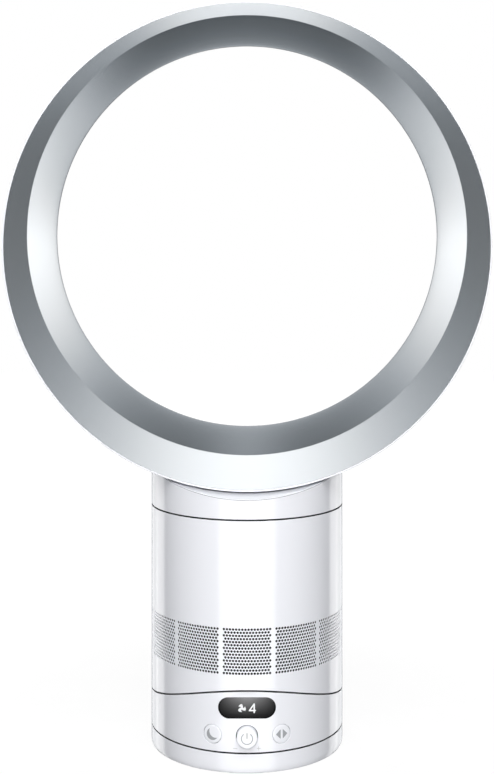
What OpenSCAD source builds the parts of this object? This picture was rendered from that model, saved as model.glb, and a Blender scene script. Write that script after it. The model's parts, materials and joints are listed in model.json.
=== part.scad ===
// Bladeless desk fan: a round stand draws air in through its grille, and an impeller inside
// blows it up into a hollow loop, which throws it forward from a slot round its bore.
// Millimetres. +Z is up, the front looks along -Y, and the origin is the middle of the sole.

/* [Stand] */
// Outer diameter of the foot, the base and the body
stand_d = 145; // [143:0.5:149]
// Wall of the moulded casings of the stand
wall = 2.5; // [2.3:0.1:2.8]
// Height of the seam between the foot and the base
foot_h = 14.5; // [14.5:0.5:17]
// Gap that shows as a line between two casings
seam = 0.4; // [0.3:0.1:0.6]
// Thickness of the rubber sole
sole_t = 1.2; // [1:0.1:1.6]
// Thickness of the steel weight in the foot
weight_t = 5.5; // [4:0.1:5.7]

/* [Swivel] */
// Teeth of the fixed gear round the swivel post
gear_teeth = 40; // [32:8:40]
// Teeth of the motor's pinion
pinion_teeth = 16; // [16:8:24]
// Module of both gears
gear_module = 0.9; // [0.8:0.05:0.95]
// Radius of the hollow swivel post
post_r = 9; // [8:0.25:10]
// Radial clearance of a running fit
run_fit = 0.05; // [0.03:0.01:0.08]
// Diameter of the bearing balls
ball_d = 5; // [4:0.5:5]
// Number of bearing balls
ball_n = 16; // [8:1:24]
// Distance of the circle that the balls run on inside the casings
race_in = 19; // [17:0.5:20]

/* [Tilt] */
// Height at the front of the curved seam between the base and the body
tilt_front_z = 58.8; // [58.5:0.1:61]
// Radius of the curved seam about the tilt axis
tilt_r = 156.5; // [152:0.5:158]
// Distance of each tilt runner inside the casings
runner_in = 30; // [26:0.5:34]
// Tilt each way that the runner slots allow, in degrees
tilt_deg = 10; // [6:0.5:11]

/* [Panel] */
// Width of the display window
display_w = 41.3; // [38:0.5:44]
// Height of the display window
display_h = 15.2; // [12:0.2:15.4]
// Height of the curved seam above the middle of the display window
display_below = 12.5; // [12.5:0.1:13.5]
// Diameter of the round push buttons
button_d = 13.3; // [12:0.1:14]
// Distance in X from the middle of the knob to the middle of each push button
button_x = 24.7; // [23:0.1:27]
// Height of the buttons and of the knob
button_z = 26.9; // [26:0.1:27.5]
// Diameter of the power knob
knob_d = 15; // [13:0.1:16]
// How far the knob stands out of the base
knob_out = 5.5; // [4:0.1:7]
// Gap round a button or the knob
button_gap = 0.3; // [0.2:0.05:0.4]
// Travel of a push button
button_travel = 1; // [0.6:0.1:1.2]
// Travel of the power knob
knob_travel = 1.5; // [1:0.1:1.6]

/* [Body] */
// Height of the seam between the body and the loop's collar
body_top_z = 179.7; // [178:0.1:184]
// Height of the lowest row of the grille
grille_z = 71; // [69:0.1:72]
// Number of rows in the grille
grille_rows = 15; // [12:1:15]
// Distance from row to row
grille_pitch = 2.23; // [2.1:0.01:2.25]
// Height of a row's opening
grille_slot = 1.4; // [1.1:0.05:1.6]
// Number of grille panels round the body
grille_panels = 12; // [10:2:14]
// Width of the plain strip between two panels
grille_web = 2.6; // [2:0.1:4]

/* [Airflow] */
// Gap between the casing and the inner wall of the duct
duct_in = 12; // [11:0.25:13]
// Step from the wall of the duct in to the impeller's inlet
inlet_in = 16; // [14:0.5:20]
// Height of the impeller's blades
impeller_h = 26; // [22:0.5:27]
// Number of impeller blades
blade_n = 9; // [7:1:11]
// Number of fixed vanes over the impeller
vane_n = 11; // [7:1:13]
// Radius of the motor's bucket
bucket_r = 38; // [36:0.5:40]
// Radius of the motor shaft
shaft_r = 3; // [2.5:0.1:3.5]
// Gap between the blade tips and the duct
tip_gap = 0.8; // [0.5:0.1:1.2]

/* [Loop] */
// Outer diameter of the loop
loop_d = 356.4; // [350:0.5:362]
// Front to back depth of the loop
loop_depth = 100; // [94:1:106]
// Height of the lowest point of the loop
loop_low_z = 195.8; // [194:0.1:200]
// Height of the bore's centre above the outer circle's centre
bore_up = 8.3; // [6:0.1:9]
// Width of the white rim that shows round the silver front
rim_w = 1.3; // [1:0.1:1.6]
// Wall of the loop's outer casing
loop_wall = 2.6; // [2.3:0.1:3]
// Radius of the loop's rounded rear edge
rear_round = 16; // [10:0.5:16]
// Mean width of the front, from the outer edge to the line where it meets the inner casing
front_w = 17.1; // [15.5:0.1:19]
// Depth from the loop's front edge to that line
mouth_in = 8; // [5:0.5:10]
// How far the inner casing narrows from that line to its throat
throat_in = 12.2; // [11.5:0.1:14]
// Distance of that smallest radius behind the stand's axis
throat_y = 28; // [24:0.5:29]
// Step from the throat out to the rear lip that forms the air slot
lip_out = 2.6; // [1.6:0.1:2.9]
// Thickness of the silver front and of the inner casing
skin_t = 2; // [1.6:0.1:2.2]
// Gap between the loop and the deck of its collar
deck_gap = 1.7; // [1.4:0.1:2.2]
// Width of the seal at the corners of the air passage from the collar to the loop
seal_w = 4.6; // [4:0.1:8]
// Angle of those corners from the X axis
passage_deg = 38.2; // [34:0.1:40]

/* [Hidden] */
$fn = 96;

white = "whitesmoke";
stand_r = stand_d / 2;
inner_r = stand_r - wall;
eps = 0.5;
slip = 0.3;
snug = 0.1;
sliver = 0.02;
screw_r = 1.5;
head_r = 3;
head_t = 2;
screw_hole_r = screw_r + snug;
thread_long = 7;
thread_spare = 2;

// Heights in the foot
sole_in = 4;
foot_floor_t = 2;
foot_floor_z = sole_t + foot_floor_t;
foot_round = 2;
race_r = inner_r - race_in;
foot_top_z = foot_h - seam / 2;
base_z = foot_h + seam / 2;
base_floor_z = foot_h - 0.9;
base_floor_t = 2;
base_deck_z = base_floor_z + base_floor_t;
race_z = base_floor_z - snug - ball_d;
race_w = 7.5;
cage_t = 2;
cage_w = 6.4;
ball_gap = 0.15;
weight_r = race_r - race_w / 2 - 1.5;
weight_hole_r = post_r + 6;
foot_screw_r = weight_r - 6;
foot_screw_long = weight_t + 1.5;
post_flange_r = post_r + 5;
post_flange_t = 2;
gear_t = 3.2;
gear_z = base_floor_z - 1 - gear_t;
gear_far = gear_module * (gear_teeth + pinion_teeth) / 2;
gear_backlash = 0.27;
tooth_in = 1.2;
tooth_out = 0.9;
tooth_fade = 0.01;
hub_r = post_r + 3;
hub_z = base_deck_z + 6.4;
clip_t = 1.2;
clip_z = hub_z + slip;
clip_r = post_r + 2.6;
clip_deep = 0.8;
clip_gap = 4;
post_top_z = clip_z + clip_t + 1;
post_bore_r = post_r - 3;
pinion_shaft_r = 2;
pinion_hole_r = pinion_shaft_r + 1;
motor_can_r = 12;
motor_can_z = base_deck_z + 1.5;
motor_ear = 4;
motor_ear_t = 3;
socket_z = 8;
socket_r = 4.1;
socket_bore_r = 3.1;
socket_deep = 9;
socket_w = 11;
socket_top_z = socket_z + 4.7;
socket_back_y = stand_r - 14.5;
pin_r = 1;
pin_back_y = socket_back_y + 2;
pin_front_y = stand_r - 1.5;

// Tilt geometry, about an axis along X
tilt_z = tilt_front_z + sqrt(pow(tilt_r, 2) - pow(stand_r, 2));
tilt_low_z = tilt_z - tilt_r;
tall_z = tilt_low_z + stand_r;
cradle_r = tilt_r + seam / 2;
chassis_r = tilt_r - seam / 2;
plate_t = 2.5;
cradle_out_r = cradle_r + plate_t;
chassis_in_r = chassis_r - plate_t;
runner_x = inner_r - runner_in;
runner_w = 4;
runner_half_y = 8;
runner_foot_w = 10;
runner_foot_r = cradle_out_r + 0.6;
runner_bottom_r = runner_foot_r + 2.4;
runner_head_z = tilt_z - sqrt(pow(chassis_in_r, 2) - pow(head_r, 2)) + sliver;
runner_screw_z = tilt_low_z - 4.4;
slot_w = runner_w + 1.2;
slot_half_y = runner_half_y + cradle_out_r * sin(tilt_deg) + 2;
cradle_post_at = inner_r - 4.4;
cradle_post_deg = 37.6;
cradle_post_r = 3.5;
boss_x = stand_r - 10.5;
boss_r = 4;
boss_h = 12;
boss_top_z = base_deck_z + boss_h;
rib_t = 2;
wire_hole_r = 6;
motor_can_top_z = tilt_low_z - 7.9;
pinion_top_z = motor_can_top_z - 6.5;

// Front panel
display_z = tilt_front_z - display_below;
button_deg = asin(button_x / stand_r);
flange_out = inner_r - 0.9;
flange_t = 1.2;
flange_more_r = 1;
stem_r = 2;
stem_end = inner_r - 4.2;
switch_w = 5;
switch_t = 1.6;
switch_deep = 8;
switch_front = stem_end - button_travel - slip;
board_y = switch_front * cos(button_deg) - switch_t;
board_t = 1.6;
board_w = 60;
board_low_z = base_deck_z + 1.4;
board_top_z = display_z + 1.2;
module_w = 38;
module_h = 8;
module_top_z = display_z + 1;
module_front_y = board_y + 6.5;
knob_gap = button_gap + 0.05;
knob_back_y = inner_r - 1;
hex_r = 3;
hex_gap = 0.15;
hex_end_y = board_y + 2.5;
sleeve_r = 5;
sleeve_front_y = knob_back_y - knob_travel - slip;
sleeve_back_y = board_y + 0.7;
sleeve_flange_r = sleeve_r + 1.5;
encoder_r = 7.5;
encoder_front_y = sleeve_front_y - 0.7;
encoder_floor_y = board_y + 0.4;

// Body
body_inner_r = inner_r;
grille_top_z = grille_z + (grille_rows - 1) * grille_pitch + grille_slot / 2;
web_deep = 4 * wall;
shelf_z = grille_top_z + 2;
shelf_t = 2;
duct_r = inner_r - duct_in;
inlet_r = duct_r - inlet_in;
shelf_in_r = body_inner_r - 4;
top_shelf_in_r = body_inner_r - 5;
seal_z = shelf_z + shelf_t;
seal_t = 2;
shroud_z = seal_z + seal_t;
shroud_t = 2;
shroud_wide_z = shroud_z + impeller_h;
duct_steps = 6;
duct_curl = 1.6;
flare_in_h = 6;
flare_out_h = 4;
board2_z = tilt_low_z + 13;
board2_r = 40;
board2_post_r = 3;
board2_post_at = board2_r - 6;
foam_in_r = 20;
foam_out_r = 48;
foam_t = 8;
top_ring_z = body_top_z - 8;
shroud_top_z = top_ring_z - shelf_t - snug;
top_shelf_z = top_ring_z - shelf_t;
top_ring_t = 2.5;
top_ring_wall = 2;
top_ring_up = 1;
top_screw_at = body_inner_r - 2.5;
top_screw_n = 4;
top_screw_past = 3;
top_head_r = 2.2;
top_head_t = 1.8;

// Motor, above the impeller
hub_low_r = 18;
hub_top_r = 36;
nose_z = shroud_z - 5;
nose_r = 0.6 * hub_low_r;
nose_h = 1.5;
blade_root = 4;
blade_lip = 1;
shaft_in = 4;
impeller_low_z = shroud_z + 1;
impeller_top_z = shroud_wide_z - 1;
bucket_z = impeller_top_z + 2;
bucket_t = 2;
bucket_h = 32;
bucket_floor_r = bucket_r - 1;
bucket_top_z = bucket_z + bucket_h;
bearing_r = 8;
bearing_t = 3;
bearing_seat_t = 2.5;
bearing_wall = 3;
rotor_r = 12;
rotor_h = 14;
rotor_z = bucket_z + 8;
stator_in_r = rotor_r + 0.6;
stator_out_r = 24;
stator_wall = 4;
upper_bearing_z = rotor_z + rotor_h + 2.5;
shaft_top_z = upper_bearing_z + bearing_t + 0.5;
vane_z = bucket_z + 8;
vane_h = 18;
vane_long = 0.9 * vane_h;
vane_lean = 20;
vane_t = 1.6;
vane_ring_t = 1.6;
blade_t = 1.6;
blade_pitch = 48;
cap_h = 5;
cap_rim_h = 2;
cap_low_in = 2;
cap_top_in = 14;
cap_hole_r = bearing_r - 1;
cap_hole_h = 3;

// Loop
loop_r = loop_d / 2;
loop_z = loop_low_z + loop_r;
bore_z = loop_z + bore_up;
front_y = loop_depth / 2;
fascia_r = loop_r - rim_w;
mouth_r = loop_r - front_w;
throat_r = mouth_r - throat_in;
lip_r = throat_r + lip_out;
fascia_flat = 1;
lip_t = 1.5;
lip_long = 11;
deck_r = loop_r + deck_gap;
collar_z = body_top_z + seam / 2;
collar_floor_z = body_top_z + 2;
collar_floor_t = 2;
spigot_r = duct_r - 0.5;
spigot_t = 2;
spigot_z = body_top_z - 6;
neck_seal_z = spigot_z + 1;
neck_seal_t = 2;
gasket_r = duct_r;
gasket_half_y = front_y - 4;
passage_x = 2 * (gasket_r - seal_w) * cos(passage_deg);
passage_y = 2 * (gasket_r - seal_w) * sin(passage_deg);
passage_h = 40;
loop_screw_at = gasket_r - 3;
loop_screw_deg = 27;
loop_screw_out = 1;
screw_past = 5;
screw_room = 8;
loop_screw_y = loop_screw_at * sin(loop_screw_deg);
loop_screw_lean = asin(loop_screw_at * cos(loop_screw_deg) / loop_r);
coanda_r = 14;
coanda_deg = 68;
flange_reach = 5;
spacer_n = 12;
spacer_t = 1.5;
spacer_in_r = throat_r + 6.1;
spacer_out_r = throat_r + 10.6;
spacer_back = 3;
hub_hole_r = lip_r - 31.5;
hollow_past = 5;

// A cylinder on the Z axis from one height to another
module post(r, low, high) {
  translate([0, 0, low]) cylinder(r = r, h = high - low);
}

// A tube on the Z axis
module tube(outer, inner, low, high) {
  difference() {
    post(outer, low, high);
    post(inner, low - eps, high + eps);
  }
}

// A cylinder along Y at a height, from one Y to a larger one
module y_bar(r, height, low, high) {
  translate([0, high, height]) rotate([90, 0, 0]) cylinder(r = r, h = high - low);
}

// A cylinder round the tilt axis, wider than the stand
module tilt_drum(r) {
  translate([-stand_d, 0, tilt_z]) rotate([0, 90, 0]) cylinder(r = r, h = 2 * stand_d);
}

// A cylinder round the loop's outer axis, deeper than the stand
module loop_drum(r) {
  y_bar(r, loop_z, -stand_d, stand_d);
}

// Places a shape on the front panel, with its Z outward from the stand's axis and its Y up
module on_panel(angle) {
  rotate([0, 0, angle]) translate([0, 0, button_z]) rotate([90, 0, 0]) children();
}

// Turns a profile of radius and forward depth about an axis along Y
module round_loop(height) {
  translate([0, 0, height]) rotate([90, 0, 0]) rotate_extrude() children();
}

// A box given by its lowest and highest corners
module box(low, high) {
  translate(low) cube(high - low);
}

// Copies a shape to each of the four posts that carry the tilt cradle
module at_cradle_posts() {
  for (a = [cradle_post_deg, 180 - cradle_post_deg])
    ring_of(2, a) translate([cradle_post_at, 0, 0]) children();
}

// Copies a shape round the Z axis
module ring_of(n, first = 0) {
  for (i = [0:n - 1]) rotate([0, 0, first + i * 360 / n]) children();
}

// A pan-head screw that hangs down from its head's underside at a height
module screw_down(height, long) {
  post(head_r, height, height + head_t);
  post(screw_r, height - long, height + snug);
}

// A pan-head screw that stands up from its head's upper side at a height
module screw_up(height, long) {
  post(head_r, height - head_t, height);
  post(screw_r, height - snug, height + long);
}

function arc(cx, cy, r, from, to, n) = [
  for (i = [0:n]) let (a = from + (to - from) * i / n) [cx + r * cos(a), cy + r * sin(a)]
];

// Involute gear teeth: half the angle of a tooth at a radius, and the outline of the whole gear
pressure = 20;
function involute(a) = tan(a) * 180 / PI - a;
function half_tooth(n, r) =
  let (pitch = gear_module * n / 2, base = pitch * cos(pressure))
  (PI * gear_module / 2 - gear_backlash) / 2 / pitch * 180 / PI
  + involute(pressure) - involute(acos(min(1, base / r)));
function gear_points(n) =
  let (
    pitch = gear_module * n / 2,
    base = pitch * cos(pressure),
    root = pitch - tooth_in * gear_module,
    low = max(base, root),
    tip = pitch + tooth_out * gear_module,
    radii = [for (k = [0:4]) low + (tip - low) * k / 4]
  )
  [
    for (i = [0:n - 1]) let (mid = i * 360 / n)
      for (p = concat(
        [[root - tooth_fade, -half_tooth(n, low)]],
        [for (r = radii) [r, -half_tooth(n, r)]],
        [for (k = [4:-1:0]) [radii[k], half_tooth(n, radii[k])]],
        [[root - tooth_fade, half_tooth(n, low)]]
      )) [p[0] * cos(mid + p[1]), p[0] * sin(mid + p[1])]
  ];

// Foot

module foot_sole() {
  color("dimgray") post(stand_r - sole_in, 0, sole_t);
}

module foot_shell() {
  color(white) {
    difference() {
      union() {
        rotate_extrude() polygon(concat(
          [[0, sole_t]],
          arc(stand_r - foot_round, sole_t + foot_round, foot_round, -90, 0, 6),
          [[stand_r, foot_top_z], [inner_r, foot_top_z], [inner_r, foot_floor_z], [0, foot_floor_z]]
        ));
        tube(race_r + race_w / 2, race_r - race_w / 2, foot_floor_z - eps, race_z);
      }
      y_bar(socket_r + snug, socket_z, inner_r - wall, stand_r + wall);
      ring_of(4, 45) translate([foot_screw_r, 0, 0]) post(screw_hole_r, sole_t - eps, foot_floor_z + eps);
    }
  }
}

module foot_weight() {
  color("gray") difference() {
    tube(weight_r, weight_hole_r, foot_floor_z, foot_floor_z + weight_t);
    ring_of(4, 45) translate([foot_screw_r, 0, 0])
      post(screw_hole_r, foot_floor_z - eps, foot_floor_z + weight_t + eps);
  }
}

module foot_screws() {
  color("silver") ring_of(4, 45) translate([foot_screw_r, 0, 0])
    screw_down(foot_floor_z + weight_t, foot_screw_long);
}

module swivel_post() {
  color("gainsboro") difference() {
    union() {
      post(post_flange_r, foot_floor_z, foot_floor_z + post_flange_t);
      post(post_r, foot_floor_z, post_top_z);
      translate([0, 0, gear_z]) linear_extrude(gear_t) polygon(gear_points(gear_teeth));
    }
    post(post_bore_r, foot_floor_z - eps, post_top_z + eps);
    tube(post_r + eps, post_r - clip_deep, clip_z, clip_z + clip_t);
  }
}

module swivel_clip() {
  color("silver") difference() {
    tube(clip_r, post_r - clip_deep + snug, clip_z, clip_z + clip_t);
    box([0, -clip_gap / 2, clip_z - eps], [clip_r + eps, clip_gap / 2, clip_z + clip_t + eps]);
  }
}

module swivel_cage() {
  color("ivory") difference() {
    tube(
      race_r + cage_w / 2, race_r - cage_w / 2,
      race_z + (ball_d - cage_t) / 2, race_z + (ball_d + cage_t) / 2
    );
    ring_of(ball_n) translate([race_r, 0, 0]) post(ball_d / 2 + ball_gap, race_z, race_z + ball_d);
  }
}

module swivel_balls() {
  color("silver") ring_of(ball_n) translate([race_r, 0, race_z + ball_d / 2]) sphere(r = ball_d / 2);
}

module power_socket() {
  color("dimgray") difference() {
    union() {
      box([-socket_w / 2, socket_back_y, foot_floor_z], [socket_w / 2, inner_r - eps, socket_top_z]);
      y_bar(socket_r, socket_z, inner_r - 2 * eps, stand_r - snug);
    }
    y_bar(socket_bore_r, socket_z, stand_r - socket_deep, stand_r + eps);
    y_bar(pin_r, socket_z, pin_back_y, stand_r);
  }
}

module power_pin() {
  color("gold") y_bar(pin_r, socket_z, pin_back_y, pin_front_y);
}

// Base, which swings on the foot

module base_floor() {
  color(white) difference() {
    union() {
      post(inner_r - slip, base_floor_z, base_deck_z);
      post(hub_r, base_deck_z - eps, hub_z);
    }
    post(post_r + run_fit, base_floor_z - eps, hub_z + eps);
    translate([0, gear_far, 0]) post(pinion_hole_r, base_floor_z - eps, base_deck_z + eps);
    at_cradle_posts() post(screw_hole_r, base_floor_z - eps, base_deck_z + eps);
    for (s = [-1, 1]) translate([s * boss_x, 0, 0])
      post(screw_hole_r, base_floor_z - eps, base_deck_z + eps);
  }
}

// Outline of the display window, and its prism from a radius outward
module display_outline(shrink) {
  r = display_h / 2 - shrink;
  half = (display_w - display_h) / 2;
  translate([0, display_z - button_z]) {
    square([2 * half, 2 * r], center = true);
    for (s = [-1, 1]) translate([s * half, 0]) circle(r = r);
  }
}

module display_prism(shrink) {
  on_panel(0) translate([0, 0, board_y]) linear_extrude(stand_r - board_y + eps) display_outline(shrink);
}

module base_casing() {
  color(white) {
    difference() {
      tube(stand_r, inner_r, base_z, tall_z);
      tilt_drum(cradle_r);
      display_prism(0);
      for (s = [-1, 1]) on_panel(s * button_deg) post(button_d / 2 + button_gap, stem_end, stand_r + eps);
      on_panel(0) post(knob_d / 2 + knob_gap, stem_end, stand_r + eps);
    }
    for (s = [-1, 1]) difference() {
      union() {
        translate([s * boss_x, 0, 0]) post(boss_r, base_deck_z, boss_top_z);
        translate([s * (boss_x + inner_r + eps) / 2, 0, (base_deck_z + boss_top_z) / 2])
          cube([inner_r + eps - boss_x, rib_t, boss_h], center = true);
      }
      translate([s * boss_x, 0, 0])
        post(screw_hole_r, base_deck_z - eps, base_deck_z + thread_long + thread_spare);
    }
  }
}

module base_screws() {
  color("silver") for (s = [-1, 1])
    translate([s * boss_x, 0, 0]) screw_up(base_floor_z, base_floor_t + thread_long);
}

module tilt_cradle() {
  color("lightgray") difference() {
    union() {
      intersection() {
        post(inner_r - snug, base_deck_z, tall_z);
        tilt_drum(cradle_out_r);
      }
      at_cradle_posts() post(cradle_post_r, base_deck_z, tall_z);
    }
    tilt_drum(cradle_r);
    for (s = [-1, 1]) box(
      [s * runner_x - slot_w / 2, -slot_half_y, base_deck_z],
      [s * runner_x + slot_w / 2, slot_half_y, tall_z]
    );
    post(wire_hole_r, base_deck_z, tall_z);
    box([-display_w / 2 - slip, -stand_r, base_deck_z], [display_w / 2 + slip, -board_y, tall_z]);
    at_cradle_posts() post(screw_hole_r, base_deck_z - eps, base_deck_z + thread_long + thread_spare);
  }
}

module cradle_screws() {
  color("silver") at_cradle_posts() screw_up(base_floor_z, base_floor_t + thread_long);
}

module swivel_motor() {
  color("darkgray") translate([0, gear_far, 0]) difference() {
    union() {
      post(motor_can_r, motor_can_z, motor_can_top_z);
      box(
        [-motor_can_r - motor_ear, -motor_ear, base_deck_z],
        [motor_can_r + motor_ear, motor_ear, base_deck_z + motor_ear_t]
      );
    }
    post(pinion_shaft_r + run_fit, base_deck_z - eps, pinion_top_z + eps);
  }
}

module swivel_pinion() {
  color("ivory") translate([0, gear_far, 0]) {
    translate([0, 0, gear_z]) rotate([0, 0, 180 / pinion_teeth])
      linear_extrude(gear_t) polygon(gear_points(pinion_teeth));
    post(pinion_shaft_r, gear_z, pinion_top_z);
  }
}

module control_board() {
  color("seagreen") box([-board_w / 2, -board_y, board_low_z], [board_w / 2, board_t - board_y, board_top_z]);
}

module display_lens() {
  color([0.03, 0.03, 0.04]) intersection() {
    tube(stand_r - snug, inner_r, base_z, tall_z);
    display_prism(snug);
  }
}

module display_module() {
  color("lightgray") box(
    [-module_w / 2, -module_front_y, module_top_z - module_h],
    [module_w / 2, -board_y, module_top_z]
  );
}

module dial_encoder() {
  color("darkslategray") on_panel(0) difference() {
    post(encoder_r, board_y, encoder_front_y);
    post(sleeve_r + run_fit, encoder_floor_y, encoder_front_y + eps);
  }
}

module dial_sleeve() {
  color("gainsboro") on_panel(0) difference() {
    union() {
      post(sleeve_r, sleeve_back_y, sleeve_front_y);
      post(sleeve_flange_r, encoder_front_y + slip, sleeve_front_y);
    }
    translate([0, 0, sleeve_back_y - eps])
      cylinder(r = hex_r + hex_gap, h = sleeve_front_y - sleeve_back_y + 2 * eps, $fn = 6);
  }
}

module power_knob() {
  color(white) on_panel(0) {
    post(knob_d / 2, knob_back_y, stand_r + knob_out);
    translate([0, 0, hex_end_y]) cylinder(r = hex_r, h = knob_back_y - hex_end_y + eps, $fn = 6);
  }
}

// A round push button at an angle, curved like the casing, with a flange behind it
module push_button(angle) {
  color(white) {
    intersection() {
      on_panel(angle) post(button_d / 2, flange_out - flange_t, stand_r + eps);
      post(stand_r, 0, tilt_front_z);
    }
    on_panel(angle) post(button_d / 2 + flange_more_r, flange_out - flange_t, flange_out);
    on_panel(angle) post(stem_r, stem_end, flange_out);
  }
}

module sleep_button() {
  push_button(-button_deg);
}

module swing_button() {
  push_button(button_deg);
}

module button_switches() {
  color("black") for (s = [-1, 1]) difference() {
    on_panel(s * button_deg) translate([-switch_w / 2, -switch_w / 2, switch_front - switch_deep])
      cube([switch_w, switch_w, switch_deep]);
    box([-stand_r, -board_y, 0], [stand_r, stand_r, tilt_front_z]);
  }
}

// Body, which tilts in the base

module body_chassis() {
  color("lightgray") difference() {
    union() {
      intersection() {
        post(body_inner_r - snug, base_deck_z, tall_z);
        difference() {
          tilt_drum(chassis_r);
          tilt_drum(chassis_in_r);
        }
      }
      intersection() {
        ring_of(3, 90) translate([board2_post_at, 0, 0]) post(board2_post_r, base_deck_z, board2_z);
        tilt_drum(chassis_in_r + plate_t / 2);
      }
    }
    post(wire_hole_r, base_deck_z, board2_z);
    for (s = [-1, 1]) translate([s * runner_x, 0, 0]) post(screw_hole_r, base_deck_z, board2_z);
  }
}

module body_casing() {
  color(white) difference() {
    union() {
      difference() {
        tube(stand_r, body_inner_r, base_deck_z, body_top_z - seam / 2);
        difference() {
          post(stand_r + eps, base_floor_z, tall_z);
          tilt_drum(chassis_r);
        }
      }
      tube(body_inner_r + eps, shelf_in_r, shelf_z, shelf_z + shelf_t);
      tube(body_inner_r + eps, top_shelf_in_r, top_shelf_z, top_shelf_z + shelf_t);
    }
    difference() {
      for (i = [0:grille_rows - 1]) tube(
        stand_r + eps, body_inner_r - eps,
        grille_z + i * grille_pitch - grille_slot / 2, grille_z + i * grille_pitch + grille_slot / 2
      );
      ring_of(grille_panels, 180 / grille_panels) translate([stand_r, 0, (grille_z + grille_top_z) / 2])
        cube([web_deep, grille_web, grille_top_z - grille_z + 2 * grille_pitch], center = true);
    }
    ring_of(top_screw_n, 45) translate([top_screw_at, 0, 0])
      post(screw_hole_r, top_shelf_z - eps, top_shelf_z + shelf_t + eps);
  }
}

module tilt_runners() {
  color("dimgray") for (s = [-1, 1]) difference() {
    intersection() {
      difference() {
        tilt_drum(runner_bottom_r);
        tilt_drum(chassis_r);
      }
      union() {
        box(
          [s * runner_x - runner_w / 2, -runner_half_y, base_deck_z],
          [s * runner_x + runner_w / 2, runner_half_y, tall_z]
        );
        difference() {
          box(
            [s * runner_x - runner_foot_w / 2, -runner_half_y, base_deck_z],
            [s * runner_x + runner_foot_w / 2, runner_half_y, tall_z]
          );
          tilt_drum(runner_foot_r);
        }
      }
    }
    translate([s * runner_x, 0, 0]) post(screw_hole_r, runner_screw_z, tall_z);
  }
}

module runner_screws() {
  color("silver") for (s = [-1, 1]) translate([s * runner_x, 0, 0])
    screw_down(runner_head_z, runner_head_z - runner_screw_z - slip);
}

module motor_board() {
  color("seagreen") tube(board2_r, wire_hole_r, board2_z, board2_z + board_t);
}

module silencer_foam() {
  color("dimgray") tube(foam_out_r, foam_in_r, board2_z + board_t, board2_z + board_t + foam_t);
}

module housing_seal() {
  color("dimgray") tube(body_inner_r - snug, shelf_in_r, seal_z, seal_z + seal_t);
}

// Inner wall of the duct, from the inlet's bell mouth past the blades to the top
duct_curve = [
  for (i = [0:duct_steps]) let (t = i / duct_steps)
    [inlet_r + (duct_r - shroud_t - inlet_r) * (1 - pow(1 - t, duct_curl)), shroud_z + t * impeller_h]
];

module impeller_shroud() {
  color("gainsboro") rotate_extrude() polygon(concat(
    duct_curve,
    [[duct_r, shroud_wide_z + flare_in_h], [duct_r, shroud_top_z], [duct_r + shroud_t, shroud_top_z]],
    [[duct_r + shroud_t, shroud_wide_z + flare_out_h]],
    [for (i = [duct_steps:-1:2]) duct_curve[i] + [shroud_t, 0]],
    [[body_inner_r - snug, duct_curve[2][1]], [body_inner_r - snug, shroud_z]]
  ));
}

module impeller() {
  color("slategray") difference() {
    union() {
      rotate_extrude() polygon([
        [0, nose_z], [nose_r, nose_z + nose_h], [hub_low_r, impeller_low_z],
        [hub_top_r, impeller_top_z], [0, impeller_top_z]
      ]);
      intersection() {
        rotate_extrude() polygon(concat(
          [[hub_low_r - blade_root, impeller_low_z]],
          [for (p = duct_curve) if (p[1] > impeller_low_z && p[1] < impeller_top_z) [p[0] - tip_gap, p[1]]],
          [[duct_r - shroud_t - blade_lip - tip_gap, impeller_top_z]],
          [[hub_top_r - blade_root, impeller_top_z]]
        ));
        ring_of(blade_n) translate([duct_r / 2, 0, (impeller_low_z + impeller_top_z) / 2])
          rotate([blade_pitch, 0, 0]) cube([duct_r, blade_t, 3 * impeller_h], center = true);
      }
    }
    post(shaft_r + run_fit, impeller_low_z + shaft_in, impeller_top_z + eps);
  }
}

module motor_shaft() {
  color("silver") post(shaft_r, impeller_low_z + shaft_in, shaft_top_z);
}

module motor_rotor() {
  color("dimgray") tube(rotor_r, shaft_r + run_fit, rotor_z, rotor_z + rotor_h);
}

module motor_stator() {
  color("peru") tube(stator_out_r, stator_in_r, rotor_z, rotor_z + rotor_h);
}

module lower_bearing() {
  color("silver") tube(bearing_r, shaft_r + run_fit, bucket_z, bucket_z + bearing_t);
}

module upper_bearing() {
  color("silver") tube(bearing_r, shaft_r + run_fit, upper_bearing_z, upper_bearing_z + bearing_t);
}

module motor_bucket() {
  color("gainsboro") difference() {
    union() {
      tube(bucket_r, bucket_r - bucket_t, bucket_z, bucket_z + bucket_h);
      post(bucket_floor_r, bucket_z, bucket_z + bearing_seat_t);
      tube(stator_out_r + stator_wall, stator_out_r + snug, bucket_z, rotor_z + rotor_h);
      tube(duct_r - snug, duct_r - snug - vane_ring_t, vane_z, vane_z + vane_h);
      ring_of(vane_n) translate([(bucket_r + duct_r - vane_ring_t) / 2, 0, vane_z + vane_h / 2])
        rotate([-vane_lean, 0, 0]) cube([duct_r - bucket_r, vane_t, vane_long], center = true);
    }
    post(bearing_r + snug, bucket_z - eps, bucket_z + bearing_seat_t + eps);
  }
}

module motor_cap() {
  color("gainsboro") difference() {
    union() {
      post(bucket_r, bucket_top_z, bucket_top_z + cap_rim_h);
      translate([0, 0, bucket_top_z + cap_rim_h - snug])
        cylinder(r1 = bucket_r - cap_low_in, r2 = bucket_r - cap_top_in, h = cap_h);
      tube(bearing_r + bearing_wall, bearing_r + snug, upper_bearing_z, bucket_top_z + eps);
    }
    post(cap_hole_r, bucket_top_z - 2 * eps, bucket_top_z + cap_hole_h);
  }
}

module top_ring() {
  color("lightgray") difference() {
    union() {
      tube(body_inner_r - snug, duct_r, top_ring_z, top_ring_z + top_ring_t);
      tube(duct_r + top_ring_wall, duct_r, top_ring_z, body_top_z + top_ring_up);
    }
    ring_of(top_screw_n, 45) translate([top_screw_at, 0, 0])
      post(screw_hole_r, top_ring_z - eps, top_ring_z + top_ring_t + eps);
  }
}

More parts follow.
